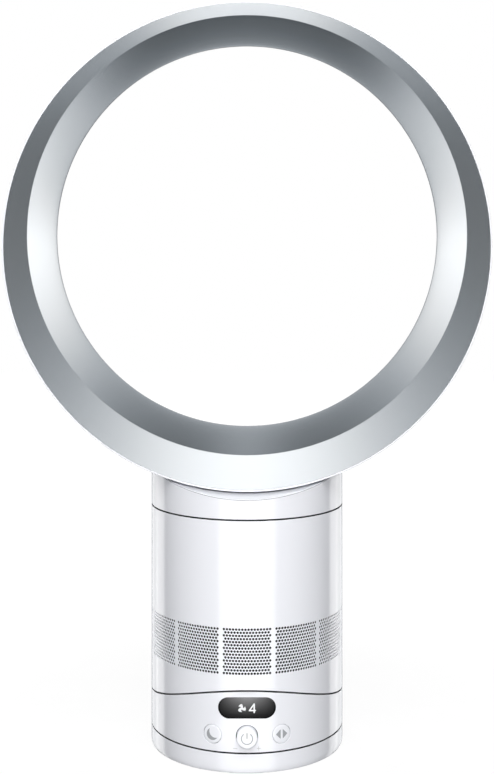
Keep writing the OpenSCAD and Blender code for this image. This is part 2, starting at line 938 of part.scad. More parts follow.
module top_ring_screws() {
  color("silver") ring_of(top_screw_n, 45) translate([top_screw_at, 0, 0]) {
    post(top_head_r, top_ring_z + top_ring_t, top_ring_z + top_ring_t + top_head_t);
    post(screw_r, top_shelf_z - top_screw_past, top_ring_z + top_ring_t + snug);
  }
}

module neck_seal() {
  color("dimgray") tube(duct_r, spigot_r, neck_seal_z, neck_seal_z + neck_seal_t);
}

// Loop

module neck_passage() {
  translate([0, 0, loop_z - loop_r]) cube([passage_x, passage_y, passage_h], center = true);
}

// A hole or a shank along a radius of the loop, at each of its four screws
module at_loop_screws() {
  for (sx = [-1, 1], sy = [-1, 1])
    translate([0, sy * loop_screw_y, loop_z]) rotate([0, sx * loop_screw_lean, 0])
      mirror([0, 0, 1]) children();
}

module loop_collar() {
  color(white) difference() {
    union() {
      difference() {
        post(stand_r, collar_z, loop_z - deck_r / 2);
        difference() {
          post(inner_r, collar_z - eps, loop_z);
          loop_drum(deck_r + wall);
        }
      }
      tube(inner_r + 2 * eps, spigot_r - spigot_t, collar_floor_z, collar_floor_z + collar_floor_t);
      tube(spigot_r, spigot_r - spigot_t, spigot_z, collar_floor_z + eps);
    }
    loop_drum(deck_r);
    neck_passage();
    at_loop_screws() post(screw_hole_r, loop_r - screw_past, deck_r + wall + screw_past);
  }
}

module loop_gasket() {
  color("dimgray") difference() {
    intersection() {
      post(gasket_r, collar_z, loop_z);
      box([-stand_r, -gasket_half_y, collar_z], [stand_r, gasket_half_y, loop_z - deck_r / 2]);
      difference() {
        loop_drum(deck_r - sliver);
        loop_drum(loop_r + sliver);
      }
    }
    neck_passage();
    at_loop_screws() post(screw_hole_r, loop_r - screw_past, deck_r + wall);
  }
}

module loop_screws() {
  color("silver") at_loop_screws() {
    post(screw_r, loop_r - loop_wall - snug, deck_r + wall + loop_screw_out);
    post(head_r, loop_r - loop_wall - head_t - snug / 2, loop_r - loop_wall - snug / 2);
  }
}

// The hollow of the outer casing, open to the front, with a step that seats the silver front
module loop_hollow() {
  round_loop(loop_z) polygon(concat(
    [[hub_hole_r - hollow_past, loop_wall - front_y]],
    arc(loop_r - rear_round, rear_round - front_y, rear_round - loop_wall, -90, 0, 12),
    [[loop_r - loop_wall, front_y - skin_t], [fascia_r, front_y - skin_t]],
    [[fascia_r, front_y + 2 * eps], [hub_hole_r - hollow_past, front_y + 2 * eps]]
  ));
}

module loop_outer_casing() {
  color(white) difference() {
    round_loop(loop_z) polygon(concat(
      [[hub_hole_r, -front_y]],
      arc(loop_r - rear_round, rear_round - front_y, rear_round, -90, 0, 12),
      [[loop_r, front_y], [hub_hole_r, front_y]]
    ));
    difference() {
      loop_hollow();
      difference() {
        y_bar(lip_r + lip_t, bore_z, front_y - lip_long, front_y + 2 * eps);
        y_bar(lip_r - 2 * eps, bore_z, front_y - lip_long - 2 * eps, front_y + 4 * eps);
      }
    }
    y_bar(lip_r, bore_z, -front_y - 2 * eps, front_y + 2 * eps);
    neck_passage();
    at_loop_screws() post(screw_hole_r, loop_r - screw_room, loop_r + screw_past);
  }
}

// Radius of the inner casing at a forward depth: it widens ever faster from the throat to the mouth
mouth_h = front_y - mouth_in;
function bore_r(h) = throat_r + (mouth_r - throat_r) * pow((h + throat_y) / (mouth_h + throat_y), 1.3);
inner_front_h = mouth_h - skin_t;
inner_curve = [for (i = [0:10]) let (h = inner_front_h - i / 10 * (inner_front_h + throat_y)) [bore_r(h), h]];

module loop_inner_casing() {
  color("silver") {
    round_loop(bore_z) polygon(concat(
      inner_curve,
      [for (p = arc(0, 0, coanda_r, 180, 180 + coanda_deg, 8)) p + [throat_r + coanda_r, -throat_y]],
      [for (p = arc(0, 0, coanda_r - skin_t, 180 + coanda_deg, 180, 8)) p + [throat_r + coanda_r, -throat_y]],
      [for (i = [10:-1:2]) inner_curve[i] + [skin_t, 0]],
      [inner_curve[1] + [skin_t, skin_t], [mouth_r + flange_reach, inner_front_h - skin_t]],
      [[mouth_r + flange_reach, inner_front_h]]
    ));
    intersection() {
      translate([0, 0, bore_z]) for (i = [0:spacer_n - 1]) rotate([0, (i + 0.5) * 360 / spacer_n, 0])
        box(
          [spacer_in_r, throat_y + coanda_r * sin(coanda_deg) - spacer_back, -spacer_t / 2],
          [spacer_out_r, front_y - loop_wall, spacer_t / 2]
        );
      loop_hollow();
    }
  }
}

// A thin disc facing the front, one end of an oblique cone
module y_disc(r, height, y) {
  y_bar(r, height, y, y + sliver);
}

module loop_fascia() {
  color("silver") difference() {
    union() {
      y_bar(fascia_r - snug / 2, loop_z, -front_y, skin_t - front_y);
      hull() {
        y_disc(loop_r - loop_wall - snug, loop_z, skin_t - front_y);
        y_disc(mouth_r, bore_z, skin_t - mouth_h - sliver);
      }
    }
    hull() {
      y_disc(fascia_r - fascia_flat, loop_z, -front_y - 2 * sliver);
      y_disc(mouth_r - snug, bore_z, -mouth_h);
    }
    y_bar(mouth_r - snug, bore_z, -front_y - eps, front_y);
  }
}

foot_sole();
foot_shell();
foot_weight();
foot_screws();
swivel_post();
swivel_clip();
swivel_cage();
swivel_balls();
power_socket();
power_pin();
base_floor();
base_casing();
base_screws();
tilt_cradle();
cradle_screws();
swivel_motor();
control_board();
display_lens();
display_module();
dial_encoder();
button_switches();
swivel_pinion();
dial_sleeve();
power_knob();
sleep_button();
swing_button();
body_chassis();
body_casing();
tilt_runners();
runner_screws();
motor_board();
silencer_foam();
housing_seal();
impeller_shroud();
motor_bucket();
motor_cap();
motor_stator();
lower_bearing();
upper_bearing();
top_ring();
top_ring_screws();
neck_seal();
impeller();
motor_rotor();
motor_shaft();
loop_collar();
loop_gasket();
loop_screws();
loop_outer_casing();
loop_inner_casing();
loop_fascia();
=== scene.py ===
"""Looks of a bladeless desk fan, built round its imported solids.

Shapes are worked out in millimetres. +Z is up and the front looks along -Y. An angle on the stand is
counted from the front, towards +X.
"""
import json
import math

import bmesh
import bpy
from mathutils import Matrix, Vector
from mathutils.geometry import delaunay_2d_cdt


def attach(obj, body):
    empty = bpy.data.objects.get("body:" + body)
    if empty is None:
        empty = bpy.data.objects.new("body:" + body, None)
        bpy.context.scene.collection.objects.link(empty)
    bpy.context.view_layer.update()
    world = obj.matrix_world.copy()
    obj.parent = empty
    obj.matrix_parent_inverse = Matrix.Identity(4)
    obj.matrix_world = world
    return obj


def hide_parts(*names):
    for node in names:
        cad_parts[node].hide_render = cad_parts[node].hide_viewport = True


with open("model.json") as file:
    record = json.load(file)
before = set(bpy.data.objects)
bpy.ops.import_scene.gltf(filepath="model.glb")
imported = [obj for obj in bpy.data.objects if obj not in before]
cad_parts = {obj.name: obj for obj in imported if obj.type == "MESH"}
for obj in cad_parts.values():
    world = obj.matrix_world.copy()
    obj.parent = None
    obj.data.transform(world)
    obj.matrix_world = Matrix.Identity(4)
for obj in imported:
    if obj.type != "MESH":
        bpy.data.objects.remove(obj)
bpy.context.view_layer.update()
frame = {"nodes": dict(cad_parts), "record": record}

MM = 0.001

# Stand: radii and heights of its casings, and the cylinders round the tilt axis that cut the curved seam
STAND_R = 72.5
INNER_R = 70.0
FOOT_ROUND = 5.0
FOOT_ROUND_IN = 0.8
FOOT_LOW_Z = 0.3
SKIRT_R = 69.3
FOOT_TOP_Z = 14.3
BASE_Z = 14.7
SOLE_T = 1.2
FLOOR_Z = 3.2
SOCKET_R = 4.2
SOCKET_Z = 8.0
TILT_Z = 197.5
BASE_SEAM_R = 156.7
BODY_SEAM_R = 156.3
BODY_TOP_Z = 179.5
COLLAR_Z = 179.9

# Seams: half the height of a groove, its depth, where its softened edge starts, how deep the edge stays pale
# before the painted shade starts, and the bevel round a hole
GROOVE_IN = 0.32
GROOVE_DEPTH = 1.2
EDGE = 0.5
PALE_IN = 0.16
BEVEL = 0.2

# Ribs inside the body, by inner radius and lower height
RIBS = ((66.0, 104.92), (65.0, 169.7))
RIB_T = 2.0

# Angles of the columns of a plain round mesh
COLUMN_STEP = 2.0
ROUND_COLUMNS = [COLUMN_STEP * i for i in range(180)]

# Loop: the outer circle and the bore have centres of their own
LOOP_Z = 374.0
BORE_Z = 382.3
LOOP_R = 178.14
FRONT_Y = -50.0
REAR_Y = 50.0
LOOP_WALL = 2.6
REAR_ROUND = 16.0
RIM_R = 176.85
SEAT_R = 176.9
SKIN_T = 2.0
MOUTH_R = 161.0
MOUTH_Y = -42.0
MOUTH_GAP = 0.1
FLARE = 1.3
FINS = 12
THROAT_R = 148.9
THROAT_Y = 28.0
LIP_R = 151.5
DECK_R = 179.65
DECK_T = 2.5
SEGMENTS = 256

# Panel on the base's front
BUTTON_X = 24.7
BUTTON_DEG = math.degrees(math.asin(BUTTON_X / STAND_R))
BUTTON_Z = 26.9
BUTTON_R = 6.65
BUTTON_GAP = 0.3
KNOB_R = 7.5
KNOB_GAP = 0.35
KNOB_FRONT_Y = -77.95
DISPLAY_Z = 46.3
DISPLAY_HALF = 13.05
DISPLAY_R = 7.6
DISPLAY_FACE = 72.4
SIGN_DEG = 6.6
SIGN_Z = 18.0

# Grille: rows of drilled holes in panels. HOLE_PALE is the depth at which a hole's wall turns to painted
# shade
GRILLE_Z = 69.885
GRILLE_PITCH = 2.23
GRILLE_ROWS = 15
GRILLE_TOP_Z = GRILLE_Z + GRILLE_PITCH * GRILLE_ROWS
PANELS = 12
PANEL_DEG = 28.0
HALF_CELLS = 32
HOLE_R = 0.95
HOLE_SIDES = 8
HOLE_PALE = 0.38

# Light that reaches matt surfaces from all round
SOFT_LEVEL = 0.03


# ---- shapes ----

def on_stand(radius, degrees, height):
    """A point on the stand, at an angle from the front."""
    a = math.radians(degrees)
    return Vector((radius * math.sin(a), -radius * math.cos(a), height))


def loop_ring(radius, y, centre_z):
    """Points round the loop, from its top."""
    turns = [2 * math.pi * i / SEGMENTS for i in range(SEGMENTS)]
    return [Vector((radius * math.sin(t), y, centre_z + radius * math.cos(t))) for t in turns]


def level_at(surface, p):
    """Height of a surface at a point. It is a height, or a function of a point."""
    return surface(p) if callable(surface) else surface


def stand_ring(radius, height, columns):
    """Points round the stand at the given angles."""
    points = [on_stand(radius, degrees, 0) for degrees in columns]
    for p in points:
        p.z = level_at(height, p)
    return points


def base_seam(p):
    return TILT_Z - math.sqrt(BASE_SEAM_R ** 2 - p.y ** 2)


def body_seam(p):
    return TILT_Z - math.sqrt(BODY_SEAM_R ** 2 - p.y ** 2)


def deck(p):
    return LOOP_Z - math.sqrt(DECK_R ** 2 - p.x ** 2)


def offset(surface, height):
    """A surface moved up."""
    return lambda p: level_at(surface, p) + height


def groove(edge, side):
    """Rows of a shadow groove, from the outer face to the seam. side is 1 where the casing lies above."""
    rows = ((0.08, 0.38), (0.25, GROOVE_IN), (GROOVE_DEPTH, GROOVE_IN), (GROOVE_DEPTH, 0.0))
    return [(STAND_R - depth, offset(edge, side * away)) for depth, away in rows]


def arc(cx, cy, radius, start, end, steps):
    """Points of an arc, in degrees, both ends included."""
    angles = [math.radians(start + (end - start) * i / steps) for i in range(steps + 1)]
    return [(cx + radius * math.cos(a), cy + radius * math.sin(a)) for a in angles]


def add_ring(bm, points):
    return [bm.verts.new(p) for p in points]


def join(bm, first, second, closed=True):
    """Quads between two rows of vertices."""
    count = len(first)
    for i in range(count if closed else count - 1):
        j = (i + 1) % count
        bm.faces.new((first[i], first[j], second[j], second[i]))


def skin(bm, rings, closed=True, wrap=False):
    """Quads along a list of rows, which are points or vertices. wrap joins the last row to the first."""
    rows = [r if isinstance(r[0], bmesh.types.BMVert) else add_ring(bm, r) for r in rings]
    for a, b in zip(rows, rows[1:]):
        join(bm, a, b, closed)
    if wrap:
        join(bm, rows[-1], rows[0], closed)
    return rows


def fill(bm, ring):
    bm.faces.new(ring)


def plug(bm, outline, steps, place):
    """A solid plug from an outline that shrinks by an inset at each step, closed at both ends."""
    rows = skin(bm, [[place(p, out) for p in outline(inset)] for inset, out in steps])
    fill(bm, rows[0])
    fill(bm, rows[-1])


def inner_side(p, pale=PALE_IN):
    """True for what lies behind the outer face and its pale edge: where the painted shade goes."""
    return math.hypot(p.x, p.y) < STAND_R - pale


def inside(point, polygon):
    """True for a point that a polygon holds, by counting crossings."""
    hit = False
    for (ax, ay), (bx, by) in zip(polygon, polygon[1:] + polygon[:1]):
        if (ay > point[1]) != (by > point[1]):
            if point[0] < ax + (point[1] - ay) / (by - ay) * (bx - ax):
                hit = not hit
    return hit


def near(point, polygon, gap):
    return any(math.dist(point, p) < gap for p in polygon)


def circle(radius, count=48):
    return [(radius * math.cos(2 * math.pi * i / count), radius * math.sin(2 * math.pi * i / count))
            for i in range(count)]


def stadium(half, radius, count=20):
    """Outline of a pill, wide in X."""
    return arc(half, 0, radius, -90, 90, count) + arc(-half, 0, radius, 90, 270, count)


def stand_turn(x, radius=STAND_R):
    """The angle on the stand of what the front view shows at this X."""
    return math.degrees(math.asin(x / radius))


def rolled_sheet(bm, radius, low, high, holes, rows):
    """A sheet rolled round the stand, cut by holes.

    Returns its lower edge, its upper edge and the edges of its holes, and the angles of its columns.
    """
    clear = 0.7
    slack = 1e-3
    scale = radius * math.pi / 180
    columns = [-180 + COLUMN_STEP * i for i in range(int(360 / COLUMN_STEP) + 1)]
    points, edges, grid = [], [], []
    for degrees in columns:
        p = on_stand(radius, degrees, 0)
        grid.append((degrees, level_at(low, p), level_at(high, p)))
    flat_holes = [[((stand_turn(x, radius) + turn) * scale, z) for x, z in outline]
                  for outline, turn in holes]

    def chain(items, closed):
        first = len(points)
        points.extend(items)
        last = len(points) - 1
        edges.extend((i, i + 1) for i in range(first, last))
        if closed:
            edges.append((last, first))
        return list(range(first, last + 1))

    lower = chain([(d * scale, b) for d, b, _ in grid], False)
    upper = chain([(d * scale, t) for d, _, t in grid], False)
    edges.extend(((lower[0], upper[0]), (lower[-1], upper[-1])))
    hole_rows = [chain(h, True) for h in flat_holes]
    for degrees, bottom, top in grid[1:-1]:
        for k in range(1, rows):
            p = (degrees * scale, bottom + (top - bottom) * k / rows)
            if not any(inside(p, h) or near(p, h, clear) for h in flat_holes):
                points.append(p)
    verts, _, faces, kept, _, _ = delaunay_2d_cdt([Vector(p) for p in points], edges, [], 0, 1e-4, True)
    made = [bm.verts.new(on_stand(radius, v.x / scale, v.y)) for v in verts]
    place = {old: made[new] for new, olds in enumerate(kept) for old in olds}
    for face in faces:
        middle = sum((verts[i] for i in face), Vector((0, 0))) / len(face)
        p = on_stand(radius, middle.x / scale, 0)
        between_edges = level_at(low, p) - slack < middle.y < level_at(high, p) + slack
        if between_edges and not any(inside(middle, h) for h in flat_holes):
            bm.faces.new([made[i] for i in face])
    return [[place[i] for i in row] for row in [lower, upper] + hole_rows], columns


def finish_piece(name, bm, body, slot, replaced=(), sharp=35.0, material=None, painted_shade=None):
    """Turns a bmesh in millimetres into a piece that rides on a body. The last argument picks faces for
    painted shade.
    """
    bmesh.ops.remove_doubles(bm, verts=bm.verts, dist=1e-4)
    bmesh.ops.recalc_face_normals(bm, faces=bm.faces)
    # Painted shade: the picked faces in seams, grooves and holes take a dark material, where shade would
    # fall.
    if painted_shade:
        for face in bm.faces:
            if painted_shade(face.calc_center_median()):
                face.material_index = 1
    bmesh.ops.scale(bm, vec=Vector((MM, MM, MM)), verts=bm.verts)
    mesh = bpy.data.meshes.new(name)
    bm.to_mesh(mesh)
    bm.free()
    mesh.polygons.foreach_set("use_smooth", [True] * len(mesh.polygons))
    mesh.set_sharp_from_angle(angle=math.radians(sharp))
    piece = bpy.data.objects.new(name, mesh)
    bpy.context.scene.collection.objects.link(piece)
    mesh.materials.append(material or finishes[slot])
    if painted_shade:
        mesh.materials.append(painted_gap_shade)
    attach(piece, body)
    if replaced:
        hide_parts(*replaced)


# ---- node trees ----

def new_tree(name):
    material = bpy.data.materials.new(name)
    material.use_nodes = True
    material.node_tree.nodes.clear()
    return material, material.node_tree


def feed(tree, socket, value):
    """Links an output to a socket, or sets the socket's own value."""
    if isinstance(value, bpy.types.NodeSocket):
        tree.links.new(value, socket)
    else:
        socket.default_value = value


def maths(tree, operation, *values):
    node = tree.nodes.new("ShaderNodeMath")
    node.operation = operation
    for socket, value in zip(node.inputs, values):
        feed(tree, socket, value)
    return node.outputs[0]


def ramp(tree, value, low, high, out_low=0.0, out_high=1.0, smooth=True):
    node = tree.nodes.new("ShaderNodeMapRange")
    node.interpolation_type = "SMOOTHSTEP" if smooth else "LINEAR"
    for socket, item in zip(node.inputs, (value, low, high, out_low, out_high)):
        feed(tree, socket, item)
    return node.outputs[0]


def noise(tree, vector, scale, detail=3.0, roughness=0.5):
    node = tree.nodes.new("ShaderNodeTexNoise")
    for key, value in (("Vector", vector), ("Scale", scale), ("Detail", detail), ("Roughness", roughness)):
        feed(tree, node.inputs[key], value)
    return node.outputs["Fac"]


def mix_colour(tree, factor, first, second):
    node = tree.nodes.new("ShaderNodeMix")
    node.data_type = "RGBA"
    feed(tree, node.inputs["Factor"], factor)
    feed(tree, node.inputs["A"], first)
    feed(tree, node.inputs["B"], second)
    return node.outputs["Result"]


def rgb(r, g, b):
    return (r, g, b, 1.0)


def grey(level):
    return rgb(level, level, level)


def new_group(name, inputs, outputs):
    tree = bpy.data.node_groups.new(name, "ShaderNodeTree")
    for key, kind, value in inputs:
        socket = tree.interface.new_socket(name=key, in_out="INPUT", socket_type=kind)
        socket.default_value = value
    for key, kind in outputs:
        tree.interface.new_socket(name=key, in_out="OUTPUT", socket_type=kind)
    return tree, tree.nodes.new("NodeGroupInput").outputs, tree.nodes.new("NodeGroupOutput").inputs


FLOAT = "NodeSocketFloat"
COLOUR = "NodeSocketColor"

# Depth of a bump, in metres
FINE = 0.0002
COARSE = 0.0003


def moulded_group():
    """Fine ripple of moulded plastic: a height for the bump, and a roughness that wanders a little."""
    tree, given, out = new_group(
        "moulded skin",
        [("Ripple", FLOAT, 900.0), ("Roughness", FLOAT, 0.15), ("Spread", FLOAT, 0.04)],
        [("Height", FLOAT), ("Roughness", FLOAT), ("Dust", FLOAT)],
    )
    place = tree.nodes.new("ShaderNodeTexCoord").outputs["Object"]
    fine = noise(tree, place, given["Ripple"], 2.0)
    broad = noise(tree, place, 28.0, 4.0, 0.6)
    feed(tree, out["Height"], fine)
    wander = maths(tree, "MULTIPLY", maths(tree, "SUBTRACT", broad, 0.5), given["Spread"])
    feed(tree, out["Roughness"], maths(tree, "ADD", given["Roughness"], wander))
    specks = noise(tree, place, 2600.0, 2.0, 0.7)
    split = tree.nodes.new("ShaderNodeSeparateXYZ")
    feed(tree, split.inputs[0], tree.nodes.new("ShaderNodeNewGeometry").outputs["Normal"])
    faces_up = ramp(tree, split.outputs["Z"], 0.5, 1.0)
    feed(tree, out["Dust"], maths(tree, "MULTIPLY", ramp(tree, specks, 0.62, 0.72), faces_up))
    return tree


def flake_group():
    """Metal flakes in a lacquer: a light and dark mottle, and a roughness that varies with it."""
    tree, given, out = new_group(
        "lacquer flakes",
        [("Dark", COLOUR, grey(0.5)), ("Light", COLOUR, grey(0.7)), ("Size", FLOAT, 5200.0),
         ("Roughness", FLOAT, 0.27)],
        [("Colour", COLOUR), ("Roughness", FLOAT), ("Height", FLOAT)],
    )
    place = tree.nodes.new("ShaderNodeTexCoord").outputs["Object"]
    flakes = tree.nodes.new("ShaderNodeTexVoronoi")
    feed(tree, flakes.inputs["Vector"], place)
    feed(tree, flakes.inputs["Scale"], given["Size"])
    bright = tree.nodes.new("ShaderNodeSeparateXYZ")
    feed(tree, bright.inputs[0], flakes.outputs["Color"])
    feed(tree, out["Colour"], mix_colour(tree, bright.outputs["X"], given["Dark"], given["Light"]))
    spread = ramp(tree, bright.outputs["Y"], 0.0, 1.0, -0.012, 0.012, False)
    feed(tree, out["Roughness"], maths(tree, "ADD", given["Roughness"], spread))
    feed(tree, out["Height"], noise(tree, place, 2500.0, 2.0))
    return tree


def grain_group():
    """Coarse grain for rubber, foam and bare metal: two scales of noise."""
    tree, given, out = new_group(
        "coarse grain",
        [("Dark", COLOUR, grey(0.1)), ("Light", COLOUR, grey(0.2)), ("Size", FLOAT, 900.0),
         ("Low roughness", FLOAT, 0.5), ("High roughness", FLOAT, 0.8)],
        [("Colour", COLOUR), ("Roughness", FLOAT), ("Height", FLOAT)],
    )
    place = tree.nodes.new("ShaderNodeTexCoord").outputs["Object"]
    coarse = noise(tree, place, given["Size"], 4.0, 0.65)
    broad = noise(tree, place, 60.0, 3.0)
    both = maths(tree, "ADD", maths(tree, "MULTIPLY", coarse, 0.6), maths(tree, "MULTIPLY", broad, 0.4))
    blend = ramp(tree, both, 0.35, 0.65)
    rough = ramp(tree, blend, 0.0, 1.0, given["Low roughness"], given["High roughness"], False)
    feed(tree, out["Colour"], mix_colour(tree, blend, given["Dark"], given["Light"]))
    feed(tree, out["Roughness"], rough)
    feed(tree, out["Height"], coarse)
    return tree


moulded_skin = moulded_group()
lacquer_flakes = flake_group()
coarse_grain = grain_group()


def use_group(tree, group, **values):
    node = tree.nodes.new("ShaderNodeGroup")
    node.node_tree = group
    for key, value in values.items():
        feed(tree, node.inputs[key.replace("_", " ")], value)
    return node.outputs


def shader(tree, height, strength, distance, **values):
    """The Principled shader with its own values, and a bump from a height."""
    node = tree.nodes.new("ShaderNodeBsdfPrincipled")
    bump = tree.nodes.new("ShaderNodeBump")
    bump.inputs["Strength"].default_value = strength
    bump.inputs["Distance"].default_value = distance
    feed(tree, bump.inputs["Height"], height)
    tree.links.new(bump.outputs["Normal"], node.inputs["Normal"])
    for key, value in values.items():
        feed(tree, node.inputs[key.replace("_", " ")], value)
    result = tree.nodes.new("ShaderNodeOutputMaterial")
    tree.links.new(node.outputs["BSDF"], result.inputs["Surface"])
    return node


def gloss_plastic(name, colour, roughness):
    """Glossy moulded plastic, with a trace of dust on what faces up."""
    material, tree = new_tree(name)
    surface = use_group(tree, moulded_skin, Roughness=roughness, Spread=0.05)
    dusty = mix_colour(tree, maths(tree, "MULTIPLY", surface["Dust"], 0.05), colour, rgb(0.6, 0.59, 0.57))
    shader(tree, surface["Height"], 0.02, FINE, Base_Color=dusty, Roughness=surface["Roughness"],
           IOR=1.5)
    return material


def matt_plastic(name, colour, roughness):
    """Matt moulded plastic, with more dust on what faces up."""
    material, tree = new_tree(name)
    surface = use_group(tree, moulded_skin, Ripple=2200.0, Roughness=roughness, Spread=0.15)
    shade = mix_colour(tree, maths(tree, "MULTIPLY", surface["Dust"], 0.3), colour, rgb(0.5, 0.49, 0.47))
    shader(tree, surface["Height"], 0.15, FINE, Base_Color=shade, Roughness=surface["Roughness"], IOR=1.48)
    return material


def silver_lacquer(name, dark, light, roughness):
    """Silver lacquer: fine flakes under a thin clear coat."""
    material, tree = new_tree(name)
    surface = use_group(tree, lacquer_flakes, Dark=dark, Light=light, Roughness=roughness)
    shader(tree, surface["Height"], 0.008, FINE, Base_Color=surface["Colour"],
           Roughness=surface["Roughness"], Metallic=0.92, Coat_Weight=0.25, Coat_Roughness=0.1)
    return material


def grained(name, dark, light, size, low, high, strength, metallic=0.0):
    """Rubber, foam or bare metal, with a roughness from low to high."""
    material, tree = new_tree(name)
    surface = use_group(tree, coarse_grain, Dark=dark, Light=light, Size=size, Low_roughness=low,
                        High_roughness=high)
    shader(tree, surface["Height"], strength, COARSE, Base_Color=surface["Colour"],
           Roughness=surface["Roughness"], Metallic=metallic)
    return material


def display_painted_glare(name):
    """Polished black window, with a painted reflection that greys it towards the middle of its top edge."""
    material, tree = new_tree(name)
    place = tree.nodes.new("ShaderNodeTexCoord").outputs["Object"]
    split = tree.nodes.new("ShaderNodeSeparateXYZ")
    feed(tree, split.inputs[0], place)
    low_z, high_z, middle_x, end_x = -7.2, 8.0, 2.0, 22.5
    up = ramp(tree, split.outputs["Z"], (DISPLAY_Z + low_z) * MM, (DISPLAY_Z + high_z) * MM, smooth=False)
    aside = maths(tree, "ABSOLUTE", split.outputs["X"])
    across = ramp(tree, aside, middle_x * MM, end_x * MM, smooth=False)
    # Painted reflection: the black greys towards the top middle, as if it mirrored a light.
    tint = maths(tree, "MULTIPLY", maths(tree, "POWER", up, 1.5), maths(tree, "SUBTRACT", 1.0, across))
    shade = mix_colour(tree, tint, rgb(0.002, 0.002, 0.0025), rgb(0.28, 0.28, 0.285))
    surface = use_group(tree, moulded_skin, Roughness=0.08, Spread=0.03)
    shader(tree, surface["Height"], 0.01, FINE, Base_Color=shade, Roughness=surface["Roughness"],
           Specular_IOR_Level=0.04)
    return material


def windings(name):
    """Enamelled copper wire, wound round and round."""
    material, tree = new_tree(name)
    place = tree.nodes.new("ShaderNodeTexCoord").outputs["Object"]
    wires = tree.nodes.new("ShaderNodeTexWave")
    wires.bands_direction = "Z"
    feed(tree, wires.inputs["Vector"], place)
    feed(tree, wires.inputs["Scale"], 320.0)
    feed(tree, wires.inputs["Distortion"], 0.6)
    shade = mix_colour(tree, wires.outputs["Fac"], rgb(0.3, 0.12, 0.05), rgb(0.72, 0.42, 0.22))
    rough = ramp(tree, wires.outputs["Fac"], 0.0, 1.0, 0.5, 0.3, False)
    shader(tree, wires.outputs["Fac"], 0.5, COARSE, Base_Color=shade, Roughness=rough, Metallic=0.8)
    return material


def circuit_board(name):
    """Green lacquer over copper tracks."""
    material, tree = new_tree(name)
    place = tree.nodes.new("ShaderNodeTexCoord").outputs["Object"]
    tracks = tree.nodes.new("ShaderNodeTexBrick")
    feed(tree, tracks.inputs["Vector"], place)
    feed(tree, tracks.inputs["Scale"], 220.0)
    feed(tree, tracks.inputs["Mortar Size"], 0.03)
    shade = mix_colour(tree, tracks.outputs["Fac"], rgb(0.03, 0.24, 0.12), rgb(0.1, 0.42, 0.2))
    rough = ramp(tree, tracks.outputs["Fac"], 0.0, 1.0, 0.3, 0.45, False)
    shader(tree, tracks.outputs["Fac"], 0.3, FINE, Base_Color=shade, Roughness=rough)
    return material


finishes = {
    "casing_white": gloss_plastic("casing white", rgb(0.905, 0.915, 0.96), 0.14),
    "control_white": gloss_plastic("control white", rgb(0.9, 0.912, 0.955), 0.18),
    "loop_silver": silver_lacquer("loop silver", rgb(0.607, 0.632, 0.652), rgb(0.637, 0.66, 0.68), 0.24),
    "display_black": display_painted_glare("display black"),
    "sole_rubber": grained("sole rubber", grey(0.1), grey(0.15), size=1500.0, low=0.7, high=0.9,
                           strength=0.4),
    "seal_rubber": grained("seal rubber", grey(0.07), grey(0.13), size=1800.0, low=0.6, high=0.85,
                           strength=0.3),
    "inner_grey": matt_plastic("inner grey", rgb(0.72, 0.73, 0.74), 0.45),
    "inner_dark": matt_plastic("inner dark", rgb(0.14, 0.145, 0.15), 0.5),
    "cage_ivory": matt_plastic("cage ivory", rgb(0.85, 0.82, 0.72), 0.4),
    "steel": grained("zinc steel", rgb(0.5, 0.5, 0.51), rgb(0.72, 0.72, 0.73), size=1200.0, low=0.25,
                     high=0.4, strength=0.1, metallic=1.0),
    "ball_steel": grained("ball steel", rgb(0.78, 0.78, 0.8), rgb(0.84, 0.84, 0.85), size=400.0, low=0.04,
                          high=0.09, strength=0.01, metallic=1.0),
    "contact_brass": grained("contact brass", rgb(0.76, 0.6, 0.28), rgb(0.86, 0.7, 0.36), size=900.0,
                             low=0.2, high=0.35, strength=0.05, metallic=1.0),
    "winding_copper": windings("winding copper"),
    "board_green": circuit_board("board green"),
    "foam": grained("open foam", rgb(0.07, 0.07, 0.075), rgb(0.24, 0.24, 0.25), size=900.0, low=0.85,
                    high=1.0, strength=1.0),
    "impeller_grey": matt_plastic("impeller grey", rgb(0.36, 0.39, 0.42), 0.38),
}
# Dark material painted into seams, grooves and the walls of holes: painted shade, where the gaps fall in
# shade.
painted_gap_shade = grained("painted gap shade", rgb(0.01, 0.01, 0.011), rgb(0.025, 0.025, 0.027), size=1200.0, low=0.6,
                     high=0.9, strength=0.2)
# Dark material for the band behind the grille: painted shade seen through the holes.
hole_shade_paint = grained("painted hole shade", rgb(0.008, 0.008, 0.009), rgb(0.03, 0.03, 0.033), size=1600.0,
                     low=0.7, high=0.95, strength=0.6)
print_grey = matt_plastic("print grey", rgb(0.36, 0.375, 0.39), 0.35)
print_pale = matt_plastic("print pale", rgb(0.55, 0.555, 0.56), 0.35)
# Pale colour for the display's lit signs: their glow is painted, with no light of its own.
painted_glow_print = matt_plastic("painted sign glow", rgb(0.86, 0.87, 0.88), 0.35)


def dress_solids():
    """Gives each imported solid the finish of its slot, and smooth shading between its sharp edges."""
    for part in frame["record"]["subparts"]:
        solid = frame["nodes"][part["node"]]
        finish = finishes[part["material_slot"]]
        if solid.data.materials:
            for i in range(len(solid.data.materials)):
                solid.data.materials[i] = finish
        else:
            solid.data.materials.append(finish)
        solid.data.polygons.foreach_set("use_smooth", [True] * len(solid.data.polygons))


# ---- loop ----

